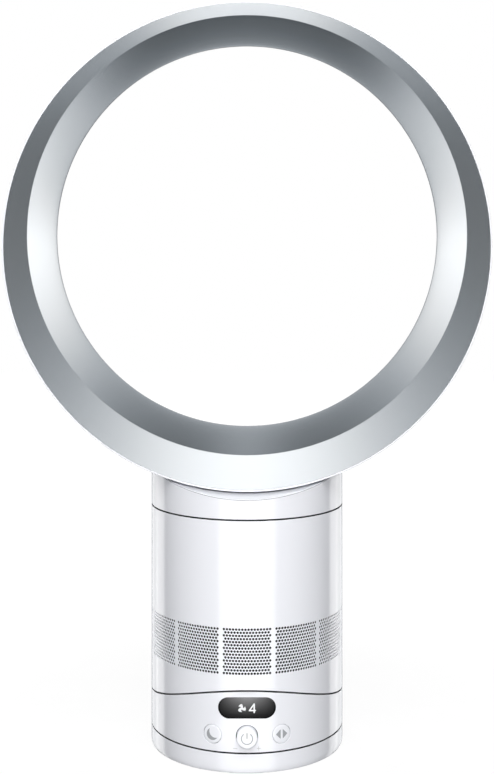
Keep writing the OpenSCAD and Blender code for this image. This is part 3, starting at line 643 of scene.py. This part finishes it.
def make_outer_casing():
    bm = bmesh.new()
    round_r, round_y = LOOP_R - REAR_ROUND, REAR_Y - REAR_ROUND
    inner_round, inner_y = REAR_ROUND - LOOP_WALL, REAR_Y - LOOP_WALL
    edge, lip_edge = 0.45, 0.5
    lip_t, lip_y = 1.5, 39.0
    shell = [(SEAT_R, FRONT_Y + SKIN_T), (SEAT_R, FRONT_Y + 0.1), (SEAT_R + 0.1, FRONT_Y)]
    shell += arc(LOOP_R - edge, FRONT_Y + edge, edge, -90, 0, 4)
    shell += [(LOOP_R, FRONT_Y + 2 * edge), (LOOP_R, FRONT_Y + 20), (LOOP_R, 0.0), (LOOP_R, round_y - 12)]
    shell += arc(round_r, round_y, REAR_ROUND, 0, 88, 16)
    lip = [(LIP_R + lip_edge, REAR_Y), (LIP_R + 0.15, REAR_Y - 0.15), (LIP_R, REAR_Y - lip_edge),
           (LIP_R, lip_y + 0.6), (LIP_R + 0.3, lip_y), (LIP_R + lip_t - 0.3, lip_y),
           (LIP_R + lip_t, lip_y + 0.4), (LIP_R + lip_t, inner_y)]
    hollow = arc(round_r, round_y, inner_round, 88, 0, 10) + [(LOOP_R - LOOP_WALL, FRONT_Y + SKIN_T)]
    rings = [loop_ring(r, y, LOOP_Z) for r, y in shell] + [loop_ring(r, y, BORE_Z) for r, y in lip]
    skin(bm, rings + [loop_ring(r, y, LOOP_Z) for r, y in hollow], wrap=True)
    finish_piece("outer_casing", bm, "upper_body", "casing_white", ["loop_outer_casing"])


def bore_radius(y):
    """Radius of the inner casing: it widens ever faster from the throat to the mouth."""
    share = (THROAT_Y - y) / (THROAT_Y - MOUTH_Y - SKIN_T)
    return THROAT_R + (MOUTH_R + MOUTH_GAP - THROAT_R) * share ** FLARE


def add_fin(bm, turn):
    """One of the thin fins that hold the air slot open, with a tapered front."""
    half_t = 0.7
    a = math.radians(turn)
    across = Vector((math.cos(a), 0, -math.sin(a)))
    out = Vector((math.sin(a), 0, math.cos(a)))
    rings = []
    for y, low, high in ((37.98, 155.2, 156.4), (40.5, 155.0, 159.3), (47.3, 155.0, 159.3)):
        centre = Vector((0, y, BORE_Z))
        corners = ((low, -half_t), (low, half_t), (high, half_t), (high, -half_t))
        rings.append([centre + out * r + across * side for r, side in corners])
    rows = skin(bm, rings)
    fill(bm, rows[0])
    fill(bm, rows[-1])


def make_inner_casing():
    bm = bmesh.new()
    front_y = MOUTH_Y + SKIN_T
    steps = 28
    face = [(bore_radius(y), y) for y in
            (front_y + (THROAT_Y - front_y) * i / steps for i in range(steps + 1))]
    curl = 14.0
    centre_r = THROAT_R + curl
    face += [(r, 2 * THROAT_Y - y) for r, y in arc(centre_r, THROAT_Y, curl, 180, 248, 12)][1:]
    back = [(r, 2 * THROAT_Y - y) for r, y in arc(centre_r, THROAT_Y, curl - SKIN_T, 248, 180, 12)]
    back += [(r + SKIN_T, y) for r, y in face[steps - 2:3:-1]]
    flange_r = MOUTH_R + 5.0
    back += [(face[3][0] + SKIN_T, front_y + 2 * SKIN_T), (face[2][0] + 2.4, front_y + SKIN_T),
             (flange_r, front_y + SKIN_T), (flange_r, front_y)]
    skin(bm, [loop_ring(r, y, BORE_Z) for r, y in face + back], wrap=True)
    for i in range(FINS):
        add_fin(bm, (i + 0.5) * 360 / FINS)
    finish_piece("inner_casing", bm, "upper_body", "loop_silver", ["loop_inner_casing"])


def make_front():
    """The silver front: a cone between two circles that don't share a centre."""
    bm = bmesh.new()
    ridge_r = RIM_R - 0.2
    back_r = 175.4
    rim = ((RIM_R, SKIN_T), (RIM_R, 0.2), (RIM_R - 0.07, 0.05), (ridge_r, 0.0))
    rings = [loop_ring(r, FRONT_Y + y, LOOP_Z) for r, y in rim]
    steps, first = 10, 0.01
    for i in range(steps + 1):
        t = first + (1 - first) * i / steps
        rings.append(loop_ring(ridge_r + (MOUTH_R - ridge_r) * t, FRONT_Y + (MOUTH_Y - FRONT_Y) * t,
                               LOOP_Z + (BORE_Z - LOOP_Z) * t))
    rings.append(loop_ring(MOUTH_R + MOUTH_GAP, MOUTH_Y + SKIN_T - 0.02, BORE_Z))
    rings.append(loop_ring(back_r, FRONT_Y + SKIN_T, LOOP_Z))
    skin(bm, rings, wrap=True)
    finish_piece("silver_front", bm, "upper_body", "loop_silver", ["loop_fascia"], sharp=20)


def make_collar():
    """The collar under the loop, with a fine groove just under the rim of its deck, its walls painted dark
    as shade.
    """
    bm = bmesh.new()
    groove_top, groove_low, groove_in = 0.32, 0.58, 0.4
    slack = 0.01
    rim = ((0.0, 4.0), (0.0, 1.0), (0.0, groove_low + 0.02), (0.1, groove_low), (groove_in, groove_low),
           (groove_in, groove_top), (0.1, groove_top), (0.0, groove_top - 0.02),
           (0.09, 0.09), (0.3, 0.0), (0.7, 0.0))
    outer = [(INNER_R, COLLAR_Z)] + groove(COLLAR_Z, 1)[::-1]
    outer += [(STAND_R, COLLAR_Z + EDGE), (STAND_R, COLLAR_Z + EDGE + 0.4)]
    outer += [(STAND_R - depth, offset(deck, -below)) for depth, below in rim]
    top = [(r, deck) for r in (INNER_R, 66.0, 60.0, 50.0, 38.0, 26.0, 14.0, 4.0)]
    under = [(r, offset(deck, -DECK_T)) for r in (4.0, 26.0, 50.0, 64.0, INNER_R - BEVEL)]
    under += [(INNER_R, offset(deck, -DECK_T - BEVEL)), (INNER_R, COLLAR_Z + 4)]
    upper = skin(bm, [stand_ring(r, z, ROUND_COLUMNS) for r, z in outer + top])
    lower = skin(bm, [stand_ring(r, z, ROUND_COLUMNS) for r, z in under])
    fill(bm, upper[-1])
    fill(bm, lower[0])
    join(bm, lower[-1], upper[0])

    # Painted shade: the seam groove and the groove under the deck's rim take the dark material.
    def painted_shade(p):
        below = deck(p) - p.z
        return inner_side(p) and (p.z < COLLAR_Z + EDGE or groove_top - slack < below < groove_low + slack)

    finish_piece("collar", bm, "upper_body", "casing_white", ["loop_collar"], sharp=25, painted_shade=painted_shade)


# ---- body ----

def grille_columns():
    """Angles of the columns: two for each hole of a panel, and none between panels."""
    half = PANEL_DEG / HALF_CELLS
    pitch = 360 / PANELS
    return [p * pitch - PANEL_DEG / 2 + half * j for p in range(PANELS) for j in range(HALF_CELLS + 1)]


def grille_skin(bm, radius, columns, first, last):
    """A drilled skin between two rows of vertices. Returns the edges of its holes, in order."""
    heights = [GRILLE_Z + GRILLE_PITCH * i for i in range(GRILLE_ROWS + 1)]
    lines = [first] + [add_ring(bm, stand_ring(radius, z, columns)) for z in heights[1:-1]] + [last]
    starts = [panel * (HALF_CELLS + 1) for panel in range(PANELS)]
    holes = []
    for row in range(GRILLE_ROWS):
        low, high = lines[row], lines[row + 1]
        middle_z = heights[row] + GRILLE_PITCH / 2
        odd = row % 2
        panels = []
        for start in starts:
            mids = {j: bm.verts.new(on_stand(radius, columns[start + j], middle_z))
                    for j in range(odd, HALF_CELLS + 1, 2)}
            panels.append(mids)
            for left in range(odd, HALF_CELLS - odd, 2):
                a, b, c = start + left, start + left + 1, start + left + 2
                border = [low[a], low[b], low[c], mids[left + 2], high[c], high[b], high[a], mids[left]]
                rim = []
                for k in range(HOLE_SIDES):
                    turn = math.radians(-135 + 360 / HOLE_SIDES * k)
                    degrees = columns[b] + math.degrees(HOLE_R * math.cos(turn) / STAND_R)
                    rim.append(bm.verts.new(on_stand(radius, degrees, middle_z + HOLE_R * math.sin(turn))))
                join(bm, border, rim)
                holes.append(rim)
            if odd:
                a, b, y, z = start, start + 1, start + HALF_CELLS - 1, start + HALF_CELLS
                bm.faces.new((low[a], low[b], mids[1], high[b], high[a]))
                bm.faces.new((low[y], low[z], high[z], high[y], mids[HALF_CELLS - 1]))
        for i, start in enumerate(starts):
            a, b = start + HALF_CELLS, starts[(i + 1) % PANELS]
            if odd:
                bm.faces.new((low[a], low[b], high[b], high[a]))
            else:
                mid_a, mid_b = panels[i][HALF_CELLS], panels[(i + 1) % PANELS][0]
                bm.faces.new((low[a], low[b], mid_b, high[b], high[a], mid_a))
    return holes


def make_body_casing():
    bm = bmesh.new()
    columns = grille_columns()

    def rings(items):
        return skin(bm, [stand_ring(r, z, columns) for r, z in items])

    outer_low = rings(groove(body_seam, 1)[::-1] + [(STAND_R, offset(body_seam, EDGE)), (STAND_R, GRILLE_Z)])
    outer_high = rings([(STAND_R, GRILLE_TOP_Z), (STAND_R, BODY_TOP_Z - EDGE)] + groove(BODY_TOP_Z, -1))
    inner_low = rings([(INNER_R, body_seam), (INNER_R, GRILLE_Z)])
    ribs = [p for rib_r, z in RIBS
            for p in ((INNER_R, z), (rib_r, z), (rib_r, z + RIB_T), (INNER_R, z + RIB_T))]
    inner_high = rings([(INNER_R, GRILLE_TOP_Z)] + ribs + [(INNER_R, BODY_TOP_Z)])
    join(bm, outer_low[0], inner_low[0])
    join(bm, outer_high[-1], inner_high[-1])
    outer_holes = grille_skin(bm, STAND_R, columns, outer_low[-1], outer_high[0])
    inner_holes = grille_skin(bm, INNER_R, columns, inner_low[-1], inner_high[0])
    share = HOLE_PALE / (STAND_R - INNER_R)
    for outer, inner in zip(outer_holes, inner_holes):
        step = [bm.verts.new(a.co.lerp(b.co, share)) for a, b in zip(outer, inner)]
        skin(bm, [outer, step, inner])
    # Painted shade: hole walls deeper than HOLE_PALE and the faces behind the outer face take the dark
    # material.
    finish_piece("body_casing_drilled", bm, "upper_body", "casing_white", ["body_casing"], sharp=25,
                 painted_shade=lambda p: inner_side(p, HOLE_PALE if GRILLE_Z < p.z < GRILLE_TOP_Z else PALE_IN))


def make_painted_shade_band():
    """A dark band close behind the drilled grille: painted shade seen through the holes, where their inside
    falls in shade.
    """
    bm = bmesh.new()
    spare, gap, thick = 0.8, 0.1, 0.4
    low, high = GRILLE_Z - spare, GRILLE_TOP_Z + spare
    outer, inner = INNER_R - gap, INNER_R - gap - thick
    corners = ((outer, low), (outer, high), (inner, high), (inner, low))
    skin(bm, [stand_ring(r, z, ROUND_COLUMNS) for r, z in corners], wrap=True)
    finish_piece("painted_shade_band", bm, "upper_body", "inner_dark", material=hole_shade_paint)


# ---- base and foot ----

def raised(points, height):
    return [(x, z + height) for x, z in points]


def panel_holes(grow):
    """Outlines of the base's holes, each with its angle on the stand, grown by their bevel."""
    button = raised(circle(BUTTON_R + BUTTON_GAP + grow), BUTTON_Z)
    return [
        (raised(stadium(DISPLAY_HALF, DISPLAY_R + grow), DISPLAY_Z), 0),
        (raised(circle(KNOB_R + KNOB_GAP + grow), BUTTON_Z), 0),
        (button, -BUTTON_DEG),
        (button, BUTTON_DEG),
    ]


def socket_hole(grow):
    return [(raised(circle(SOCKET_R + grow, 32), SOCKET_Z), 0)]


def holed_shell(bm, holes_at, bottom_rows, top_rows, outer_edges, inner_edges, rows=8):
    """An outer and an inner sheet, joined round their holes and along their edges by rows of points."""
    (o_low, o_high, *o_holes), columns = rolled_sheet(bm, STAND_R, *outer_edges, holes_at(BEVEL), rows)
    (i_low, i_high, *i_holes), _ = rolled_sheet(bm, INNER_R, *inner_edges, holes_at(0), rows)
    skin(bm, [o_low] + [stand_ring(r, z, columns) for r, z in bottom_rows] + [i_low], closed=False)
    skin(bm, [o_high] + [stand_ring(r, z, columns) for r, z in top_rows] + [i_high], closed=False)
    for outer, inner, (outline, turn) in zip(o_holes, i_holes, holes_at(0)):
        lip = [on_stand(STAND_R - BEVEL, stand_turn(x) + turn, z) for x, z in outline]
        skin(bm, [outer, lip, inner])


def make_base_casing():
    bm = bmesh.new()
    holed_shell(bm, panel_holes, groove(BASE_Z, 1), groove(base_seam, -1),
                (BASE_Z + EDGE, offset(base_seam, -EDGE)), (BASE_Z, base_seam))
    well_r = KNOB_R + 1.5

    # Painted shade: the seam grooves and the well round the knob take the dark material.
    def painted_shade(p):
        at_seam = p.z < BASE_Z + EDGE or p.z > base_seam(p) - EDGE
        return inner_side(p) and (at_seam or math.hypot(p.x, p.z - BUTTON_Z) < well_r)

    finish_piece("base_casing_cut", bm, "base", "casing_white", ["base_casing"], sharp=25, painted_shade=painted_shade)


def make_foot():
    """Made with the socket's hole in front, then turned to face the rear."""
    bm = bmesh.new()
    hub_r, floor_r = 15.0, 40.0
    under = [(STAND_R - FOOT_ROUND_IN * (1 - c), FOOT_LOW_Z + FOOT_ROUND * (1 + s))
             for c, s in arc(0, 0, 1.0, -8, -82, 8)]
    under += [(STAND_R - FOOT_ROUND_IN - 0.4, FOOT_LOW_Z), (SKIRT_R, FOOT_LOW_Z), (SKIRT_R, SOLE_T),
              (2 * hub_r, SOLE_T), (hub_r, SOLE_T), (hub_r, FLOOR_Z), (floor_r, FLOOR_Z)]
    holed_shell(bm, socket_hole, under, groove(FOOT_TOP_Z, -1),
                (FOOT_LOW_Z + FOOT_ROUND, FOOT_TOP_Z - EDGE), (FLOOR_Z, FOOT_TOP_Z), rows=4)
    bmesh.ops.rotate(bm, verts=bm.verts, cent=Vector((0, 0, 0)), matrix=Matrix.Rotation(math.pi, 3, "Z"))
    # Painted shade: the groove at the top of the foot takes the dark material.
    finish_piece("foot_casing", bm, "foot", "casing_white", ["foot_shell"], sharp=25,
                 painted_shade=lambda p: inner_side(p) and p.z > FOOT_TOP_Z - EDGE)


# ---- controls ----

def on_drum(turn, centre_z):
    """Places an outline point and a radius on the stand's front, seen along an angle."""
    def place(p, radius):
        return on_stand(radius, stand_turn(p[0], radius) + turn, p[1] + centre_z)
    return place


def on_flat(turn):
    """Places an outline point at a distance from the axis, on a flat that looks along an angle."""
    a = math.radians(turn)
    out = Vector((math.sin(a), -math.cos(a), 0))
    across = Vector((math.cos(a), math.sin(a), 0))
    return lambda p, distance: out * distance + across * p[0] + Vector((0, 0, BUTTON_Z + p[1]))


def make_display():
    bm = bmesh.new()
    gap, edge = 0.1, 0.3
    steps = [(gap, 70.05), (gap, 72.15), (gap + 0.08, 72.32), (gap + edge, DISPLAY_FACE)]
    steps += [(inset, DISPLAY_FACE) for inset in (1.5, 3.0, 5.0, 7.2)]
    plug(bm, lambda inset: stadium(DISPLAY_HALF, DISPLAY_R - inset), steps, on_drum(0, DISPLAY_Z))
    finish_piece("display_window", bm, "base", "display_black", ["display_lens"])


def make_button(name, turn, body, node):
    """A push button with its retaining flange and its stem."""
    bm = bmesh.new()
    flange_r, stem_r = 7.65, 2.0
    steps = [(0, 69.0), (0, STAND_R - 0.4), (0.1, STAND_R - 0.15)]
    steps += [(inset, STAND_R) for inset in (0.4, 1.5, 3.0, 4.5, 6.0)]
    plug(bm, lambda inset: circle(BUTTON_R - inset), steps, on_drum(turn, BUTTON_Z))
    plug(bm, lambda inset: circle(flange_r - inset), [(0, 67.9), (0, 69.1)], on_flat(turn))
    plug(bm, lambda inset: circle(stem_r - inset, 24), [(0, 65.8), (0, 68.0)], on_flat(turn))
    finish_piece(name, bm, body, "control_white", [node])


def make_knob():
    """The turning knob with the hexagonal stem behind it."""
    bm = bmesh.new()
    hex_r = 3.0
    steps = [(0.5, -69.0), (0.25, -69.3), (0.0, KNOB_FRONT_Y + 0.9), (0.1, KNOB_FRONT_Y + 0.5),
             (0.4, KNOB_FRONT_Y + 0.15)]
    steps += [(inset, KNOB_FRONT_Y) for inset in (0.9, 2.0, 4.0, 6.5)]

    def place(p, y):
        return Vector((p[0], y, p[1] + BUTTON_Z))

    plug(bm, lambda inset: circle(KNOB_R - inset, 96), steps, place)
    plug(bm, lambda inset: circle(hex_r - inset, 6), [(0, -61.5), (0, -69.2)], place)
    finish_piece("power_knob_turned", bm, "power_knob", "control_white", ["power_knob"])


# ---- printed marks ----

def printed(name, outlines, place, body, material):
    """A thin printed mark from closed outlines, each laid on a surface by place(point, lift)."""
    bm = bmesh.new()
    half_t = 0.05
    for outline in outlines:
        count = len(outline)
        edges = [(i, (i + 1) % count) for i in range(count)]
        verts, _, faces, _, _, _ = delaunay_2d_cdt([Vector(p) for p in outline], edges, [], 0, 1e-5, True)
        flat = [tuple(v) for v in verts]
        high = [bm.verts.new(place(p, half_t)) for p in flat]
        low = [bm.verts.new(place(p, -half_t)) for p in flat]
        for face in faces:
            middle = [sum(flat[i][k] for i in face) / len(face) for k in (0, 1)]
            if inside(middle, outline):
                bm.faces.new([high[i] for i in face])
                bm.faces.new([low[i] for i in reversed(face)])
        join(bm, high[:count], low[:count])
    finish_piece(name, bm, body, "control_white", material=material)


def ring_mark(radius, width, start, end, steps=40):
    """A band along an arc."""
    half = width / 2
    return arc(0, 0, radius + half, start, end, steps) + arc(0, 0, radius - half, end, start, steps)


def bar_mark(x0, z0, x1, z1, width):
    """A straight stroke with round ends."""
    half = width / 2
    turn = math.degrees(math.atan2(z1 - z0, x1 - x0))
    return arc(x1, z1, half, turn - 90, turn + 90, 8) + arc(x0, z0, half, turn + 90, turn + 270, 8)


def turned(points, degrees):
    t = math.radians(degrees)
    return [(x * math.cos(t) - z * math.sin(t), x * math.sin(t) + z * math.cos(t)) for x, z in points]


def crescent(radius, tips, thick, turn):
    """A moon: a circle's edge between two tips, and a flatter arc back that leaves it this thick."""
    tip_x, tip_z = radius * math.cos(math.radians(tips)), radius * math.sin(math.radians(tips))
    low = thick - radius
    shift = (tip_x ** 2 + tip_z ** 2 - low ** 2) / (2 * (tip_x - low))
    half = math.degrees(math.atan2(tip_z, tip_x - shift))
    outer = arc(0, 0, radius, tips, 360 - tips, 40)
    return turned(outer + arc(shift, 0, shift - low, 360 - half, half, 30)[1:-1], turn)


def on_front(turn, centre_z, radius=STAND_R):
    """Places a point of a mark on the stand, wrapped round it."""
    def place(p, lift):
        return on_stand(radius + lift, turn + math.degrees(p[0] / radius), centre_z + p[1])
    return place


def on_knob(p, lift):
    return Vector((p[0], KNOB_FRONT_Y - lift, BUTTON_Z + p[1]))


def rounded(corners, radius, steps=5):
    """A polygon with its corners rounded."""
    result = []
    count = len(corners)
    for i, corner in enumerate(corners):
        a, b, c = (Vector(corners[i - 1]), Vector(corner), Vector(corners[(i + 1) % count]))
        to_a, to_c = (a - b).normalized(), (c - b).normalized()
        half = math.acos(max(-1, min(1, to_a.dot(to_c)))) / 2
        cut = radius / math.tan(half)
        start, end = b + to_a * cut, b + to_c * cut
        centre = b + (to_a + to_c).normalized() * (radius / math.sin(half))
        for k in range(steps + 1):
            p = start.lerp(end, k / steps) - centre
            result.append(tuple(centre + p.normalized() * radius))
    return result


FAN_BLADE = [(0.3, -0.3), (0.85, 0.5), (0.8, 1.6), (0.45, 2.6), (-0.15, 3.1), (-1.2, 2.75), (-2.2, 1.6),
             (-2.1, 1.2), (-1.1, 1.15), (-0.55, 0.5), (-0.3, -0.2)]


def shifted(points, x, z):
    return [(px + x, pz + z) for px, pz in points]


def make_marks():
    """Signs on the controls, the base and the display. A stroke is its two ends and its width."""
    thin, wide = 0.4, 1.1
    printed("power_ring", [ring_mark(3.95, 0.65, 126, 414)], on_knob, "power_knob", print_grey)
    printed("power_bar", [bar_mark(0, 0.45, 0, 3.6, wide)], on_knob, "power_knob", print_pale)
    minus = [bar_mark(-1.35, 0, 1.35, 0, thin)]
    plus = [bar_mark(-1.25, 0, 1.25, 0, thin), bar_mark(0, 0.3, 0, 1.25, thin),
            bar_mark(0, -0.3, 0, -1.25, thin)]
    printed("minus_sign", minus, on_front(-SIGN_DEG, SIGN_Z), "base", print_pale)
    printed("plus_sign", plus, on_front(SIGN_DEG, SIGN_Z), "base", print_pale)
    moon = [crescent(4.3, 74, 2.8, 42)]
    printed("moon_sign", moon, on_front(-BUTTON_DEG, BUTTON_Z), "sleep_button", print_grey)
    left = rounded([(-0.8, -3.5), (-0.8, 3.5), (-4.3, 0.0)], 0.2)
    right = [(-x, z) for x, z in left]
    printed("swing_sign", [left, right], on_front(BUTTON_DEG, BUTTON_Z), "swing_button", print_grey)
    window = on_front(0, DISPLAY_Z, DISPLAY_FACE)
    fan = [shifted(turned(FAN_BLADE, t), -3.7, 0.2) for t in (0, 120, 240)]
    four = [bar_mark(5.1, 3.2, 5.1, -2.65, wide), bar_mark(5.0, 3.2, 1.75, -1.35, 1.0),
            bar_mark(1.75, -1.35, 5.85, -1.35, 1.0)]
    # The display's lit signs, their glow painted pale.
    printed("fan_sign", fan, window, "base", painted_glow_print)
    printed("speed_sign", four, window, "base", painted_glow_print)


# ---- studio ----

def between(tree, value, low, high, soft):
    """A mask that is 1 between two values, with soft edges."""
    return maths(tree, "MULTIPLY", ramp(tree, value, low - soft, low + soft),
                 ramp(tree, value, high + soft, high - soft))


def total(tree, *values):
    result = values[0]
    for value in values[1:]:
        result = maths(tree, "ADD", result, value)
    return result


def product(tree, *values):
    result = values[0]
    for value in values[1:]:
        result = maths(tree, "MULTIPLY", result, value)
    return result


def studio_level(tree):
    """Brightness of the studio that gloss shows, by direction: strips above, below, in front and behind."""
    way = tree.nodes.new("ShaderNodeTexCoord").outputs["Generated"]
    split = tree.nodes.new("ShaderNodeSeparateXYZ")
    feed(tree, split.inputs[0], way)
    side = maths(tree, "ABSOLUTE", split.outputs["X"])
    depth = split.outputs["Y"]
    up = split.outputs["Z"]
    turn = maths(tree, "ARCTAN2", side, maths(tree, "MULTIPLY", depth, -1.0))
    side2, up2 = maths(tree, "MULTIPLY", side, side), maths(tree, "MULTIPLY", up, up)
    spread = total(tree, side2, up2, 0.005)
    level = maths(tree, "DIVIDE", side2, spread)
    upright = maths(tree, "DIVIDE", up2, spread)
    above = ramp(tree, up, -0.04, 0.04)
    below = maths(tree, "SUBTRACT", 1.0, above)
    straight = maths(tree, "POWER", maths(tree, "MAXIMUM", depth, 0.0), 10.0)

    def power(value, exponent, scale):
        return product(tree, maths(tree, "POWER", value, exponent), scale)

    def strip(low, high, bottom, top, soft, brightness):
        """A panel between two angles from the front and two heights."""
        return product(tree, between(tree, turn, math.radians(low), math.radians(high), soft),
                       between(tree, up, bottom, top, 0.05), brightness)

    # The half in front of the fan: a ceiling, a table and dim walls
    ceiling = product(tree, above, total(tree, power(upright, 6.0, 1.0), product(tree, upright, 0.9)))
    table_edge = product(tree, between(tree, upright, 0.34, 0.62, 0.12), 0.12)
    glow = total(tree, power(upright, 5.5, 1.35), product(tree, upright, 0.3), table_edge)
    table = product(tree, below, glow)
    front = total(tree, 0.098, ceiling, table)

    # The half behind it: bright walls, dimmer straight behind, and a lit strip overhead
    reach = total(tree, 1.85, product(tree, straight, -1.3))
    high_walls = product(tree, above, power(level, 1.95, 1.0))
    low_walls = product(tree, level, ramp(tree, level, 0.1, 0.7), 0.55)
    low_walls = product(tree, below, total(tree, power(level, 30.0, 0.5), low_walls))
    walls = product(tree, reach, total(tree, high_walls, low_walls))
    overhead = product(tree, above, power(upright, 40.0, 0.45))
    rear = total(tree, 0.04, walls, product(tree, straight, upright, 0.78), overhead)

    behind = ramp(tree, turn, math.radians(114), math.radians(120))
    room = total(tree, front, product(tree, behind, maths(tree, "SUBTRACT", rear, front)))
    card = strip(-40, 33, -0.6, -0.03, 0.04, 2.9)
    wings = strip(117, 139, -0.55, -0.14, 0.05, 1.9)
    return total(tree, room, card, wings)


def make_world():
    world = bpy.data.worlds.new("studio")
    bpy.context.scene.world = world
    world.use_nodes = True
    tree = world.node_tree
    tree.nodes.clear()
    level = studio_level(tree)
    ray = tree.nodes.new("ShaderNodeLightPath").outputs
    seen = maths(tree, "MAXIMUM", ray["Is Camera Ray"], ray["Is Transmission Ray"])
    glossy = ray["Is Glossy Ray"]
    rest = maths(tree, "SUBTRACT", 1.0, maths(tree, "MAXIMUM", seen, glossy))
    strength = total(tree, seen, product(tree, glossy, level), product(tree, rest, SOFT_LEVEL))
    tint = maths(tree, "MAXIMUM", seen, maths(tree, "MINIMUM", level, 1.0))
    background = tree.nodes.new("ShaderNodeBackground")
    feed(tree, background.inputs["Color"], mix_colour(tree, tint, rgb(0.86, 0.97, 1.07), grey(1.0)))
    feed(tree, background.inputs["Strength"], strength)
    tree.links.new(background.outputs[0], tree.nodes.new("ShaderNodeOutputWorld").inputs["Surface"])


def add_softbox(name, place, target, size, level):
    """A lamp that lights a facing white surface at its target to the given level. Gloss doesn't show it."""
    lamp = bpy.data.lights.new(name, "AREA")
    lamp.shape = "RECTANGLE"
    lamp.size, lamp.size_y = size
    lamp.energy = level * (math.pi * math.dist(place, target)) ** 2
    holder = bpy.data.objects.new(name, lamp)
    holder.location = place
    holder.rotation_euler = (Vector(target) - Vector(place)).to_track_quat("-Z", "Y").to_euler()
    holder.visible_camera = False
    holder.visible_glossy = False
    bpy.context.scene.collection.objects.link(holder)
    return holder


def add_card(name, place, target, size, level):
    """A bright card close by, that only gloss shows, at the given level."""
    holder = add_softbox(name, place, target, size, level)
    holder.data.energy = level * math.pi * size[0] * size[1]
    holder.visible_glossy = True
    holder.visible_diffuse = False


def make_floor():
    bm = bmesh.new()
    half = 3000.0
    corners = ((-half, -half), (half, -half), (half, half), (-half, half))
    fill(bm, [bm.verts.new((x, y, 0)) for x, y in corners])
    bmesh.ops.scale(bm, vec=Vector((MM, MM, MM)), verts=bm.verts)
    mesh = bpy.data.meshes.new("floor")
    bm.to_mesh(mesh)
    bm.free()
    floor = bpy.data.objects.new("floor", mesh)
    bpy.context.scene.collection.objects.link(floor)
    material, tree = new_tree("pale floor")
    grain = use_group(tree, coarse_grain, Dark=grey(0.075), Light=grey(0.085), Size=40.0,
                      Low_roughness=0.8, High_roughness=0.9)
    node = shader(tree, grain["Height"], 0.02, FINE, Base_Color=grain["Colour"],
                  Roughness=grain["Roughness"], Specular_IOR_Level=0.0, Emission_Color=grey(1.0))
    ray = tree.nodes.new("ShaderNodeLightPath").outputs["Is Camera Ray"]
    away = tree.nodes.new("ShaderNodeVectorMath")
    away.operation = "LENGTH"
    feed(tree, away.inputs[0], tree.nodes.new("ShaderNodeTexCoord").outputs["Object"])
    near_m, far_m, near_glow, far_glow = 0.1, 0.6, 0.925, 1.0
    glow = ramp(tree, away.outputs["Value"], near_m, far_m, near_glow, far_glow)
    feed(tree, node.inputs["Emission Strength"], maths(tree, "MULTIPLY", ray, glow))
    mesh.materials.append(material)
    floor.visible_glossy = False


def make_camera():
    data = bpy.data.cameras.new("camera")
    data.lens = 63.26
    data.sensor_width = 36.0
    data.shift_y = -0.1815
    data.clip_start = 0.05
    camera = bpy.data.objects.new("camera", data)
    camera.location = (0.0, -1.0368, 0.374)
    camera.rotation_euler = (math.pi / 2, 0.0, 0.0)
    bpy.context.scene.collection.objects.link(camera)
    bpy.context.scene.camera = camera


make_camera()
dress_solids()
make_outer_casing()
make_inner_casing()
make_front()
make_collar()
make_body_casing()
make_painted_shade_band()
make_base_casing()
make_foot()
make_display()
make_button("sleep_button_face", -BUTTON_DEG, "sleep_button", "sleep_button")
make_button("swing_button_face", BUTTON_DEG, "swing_button", "swing_button")
make_knob()
make_marks()
make_world()
make_floor()
add_softbox("front softbox", (0.0, -2.8, 0.7), (0.0, 0.0, 0.2), (1.4, 1.2), 0.62)
add_softbox("high softbox", (0.0, -1.5, 2.3), (0.0, 0.0, 0.2), (2.4, 2.0), 0.95)
for side in (-1, 1):
    add_softbox("rear softbox", (side * 1.4, 2.2, 0.6), (0.0, 0.0, 0.2), (1.0, 1.4), 0.55)
    add_card("side card", (side * 0.28, 0.33, -0.03), (side * 0.07, 0.0, 0.07), (0.2, 0.34), 1.1)
bpy.context.scene.view_settings.view_transform = "Standard"
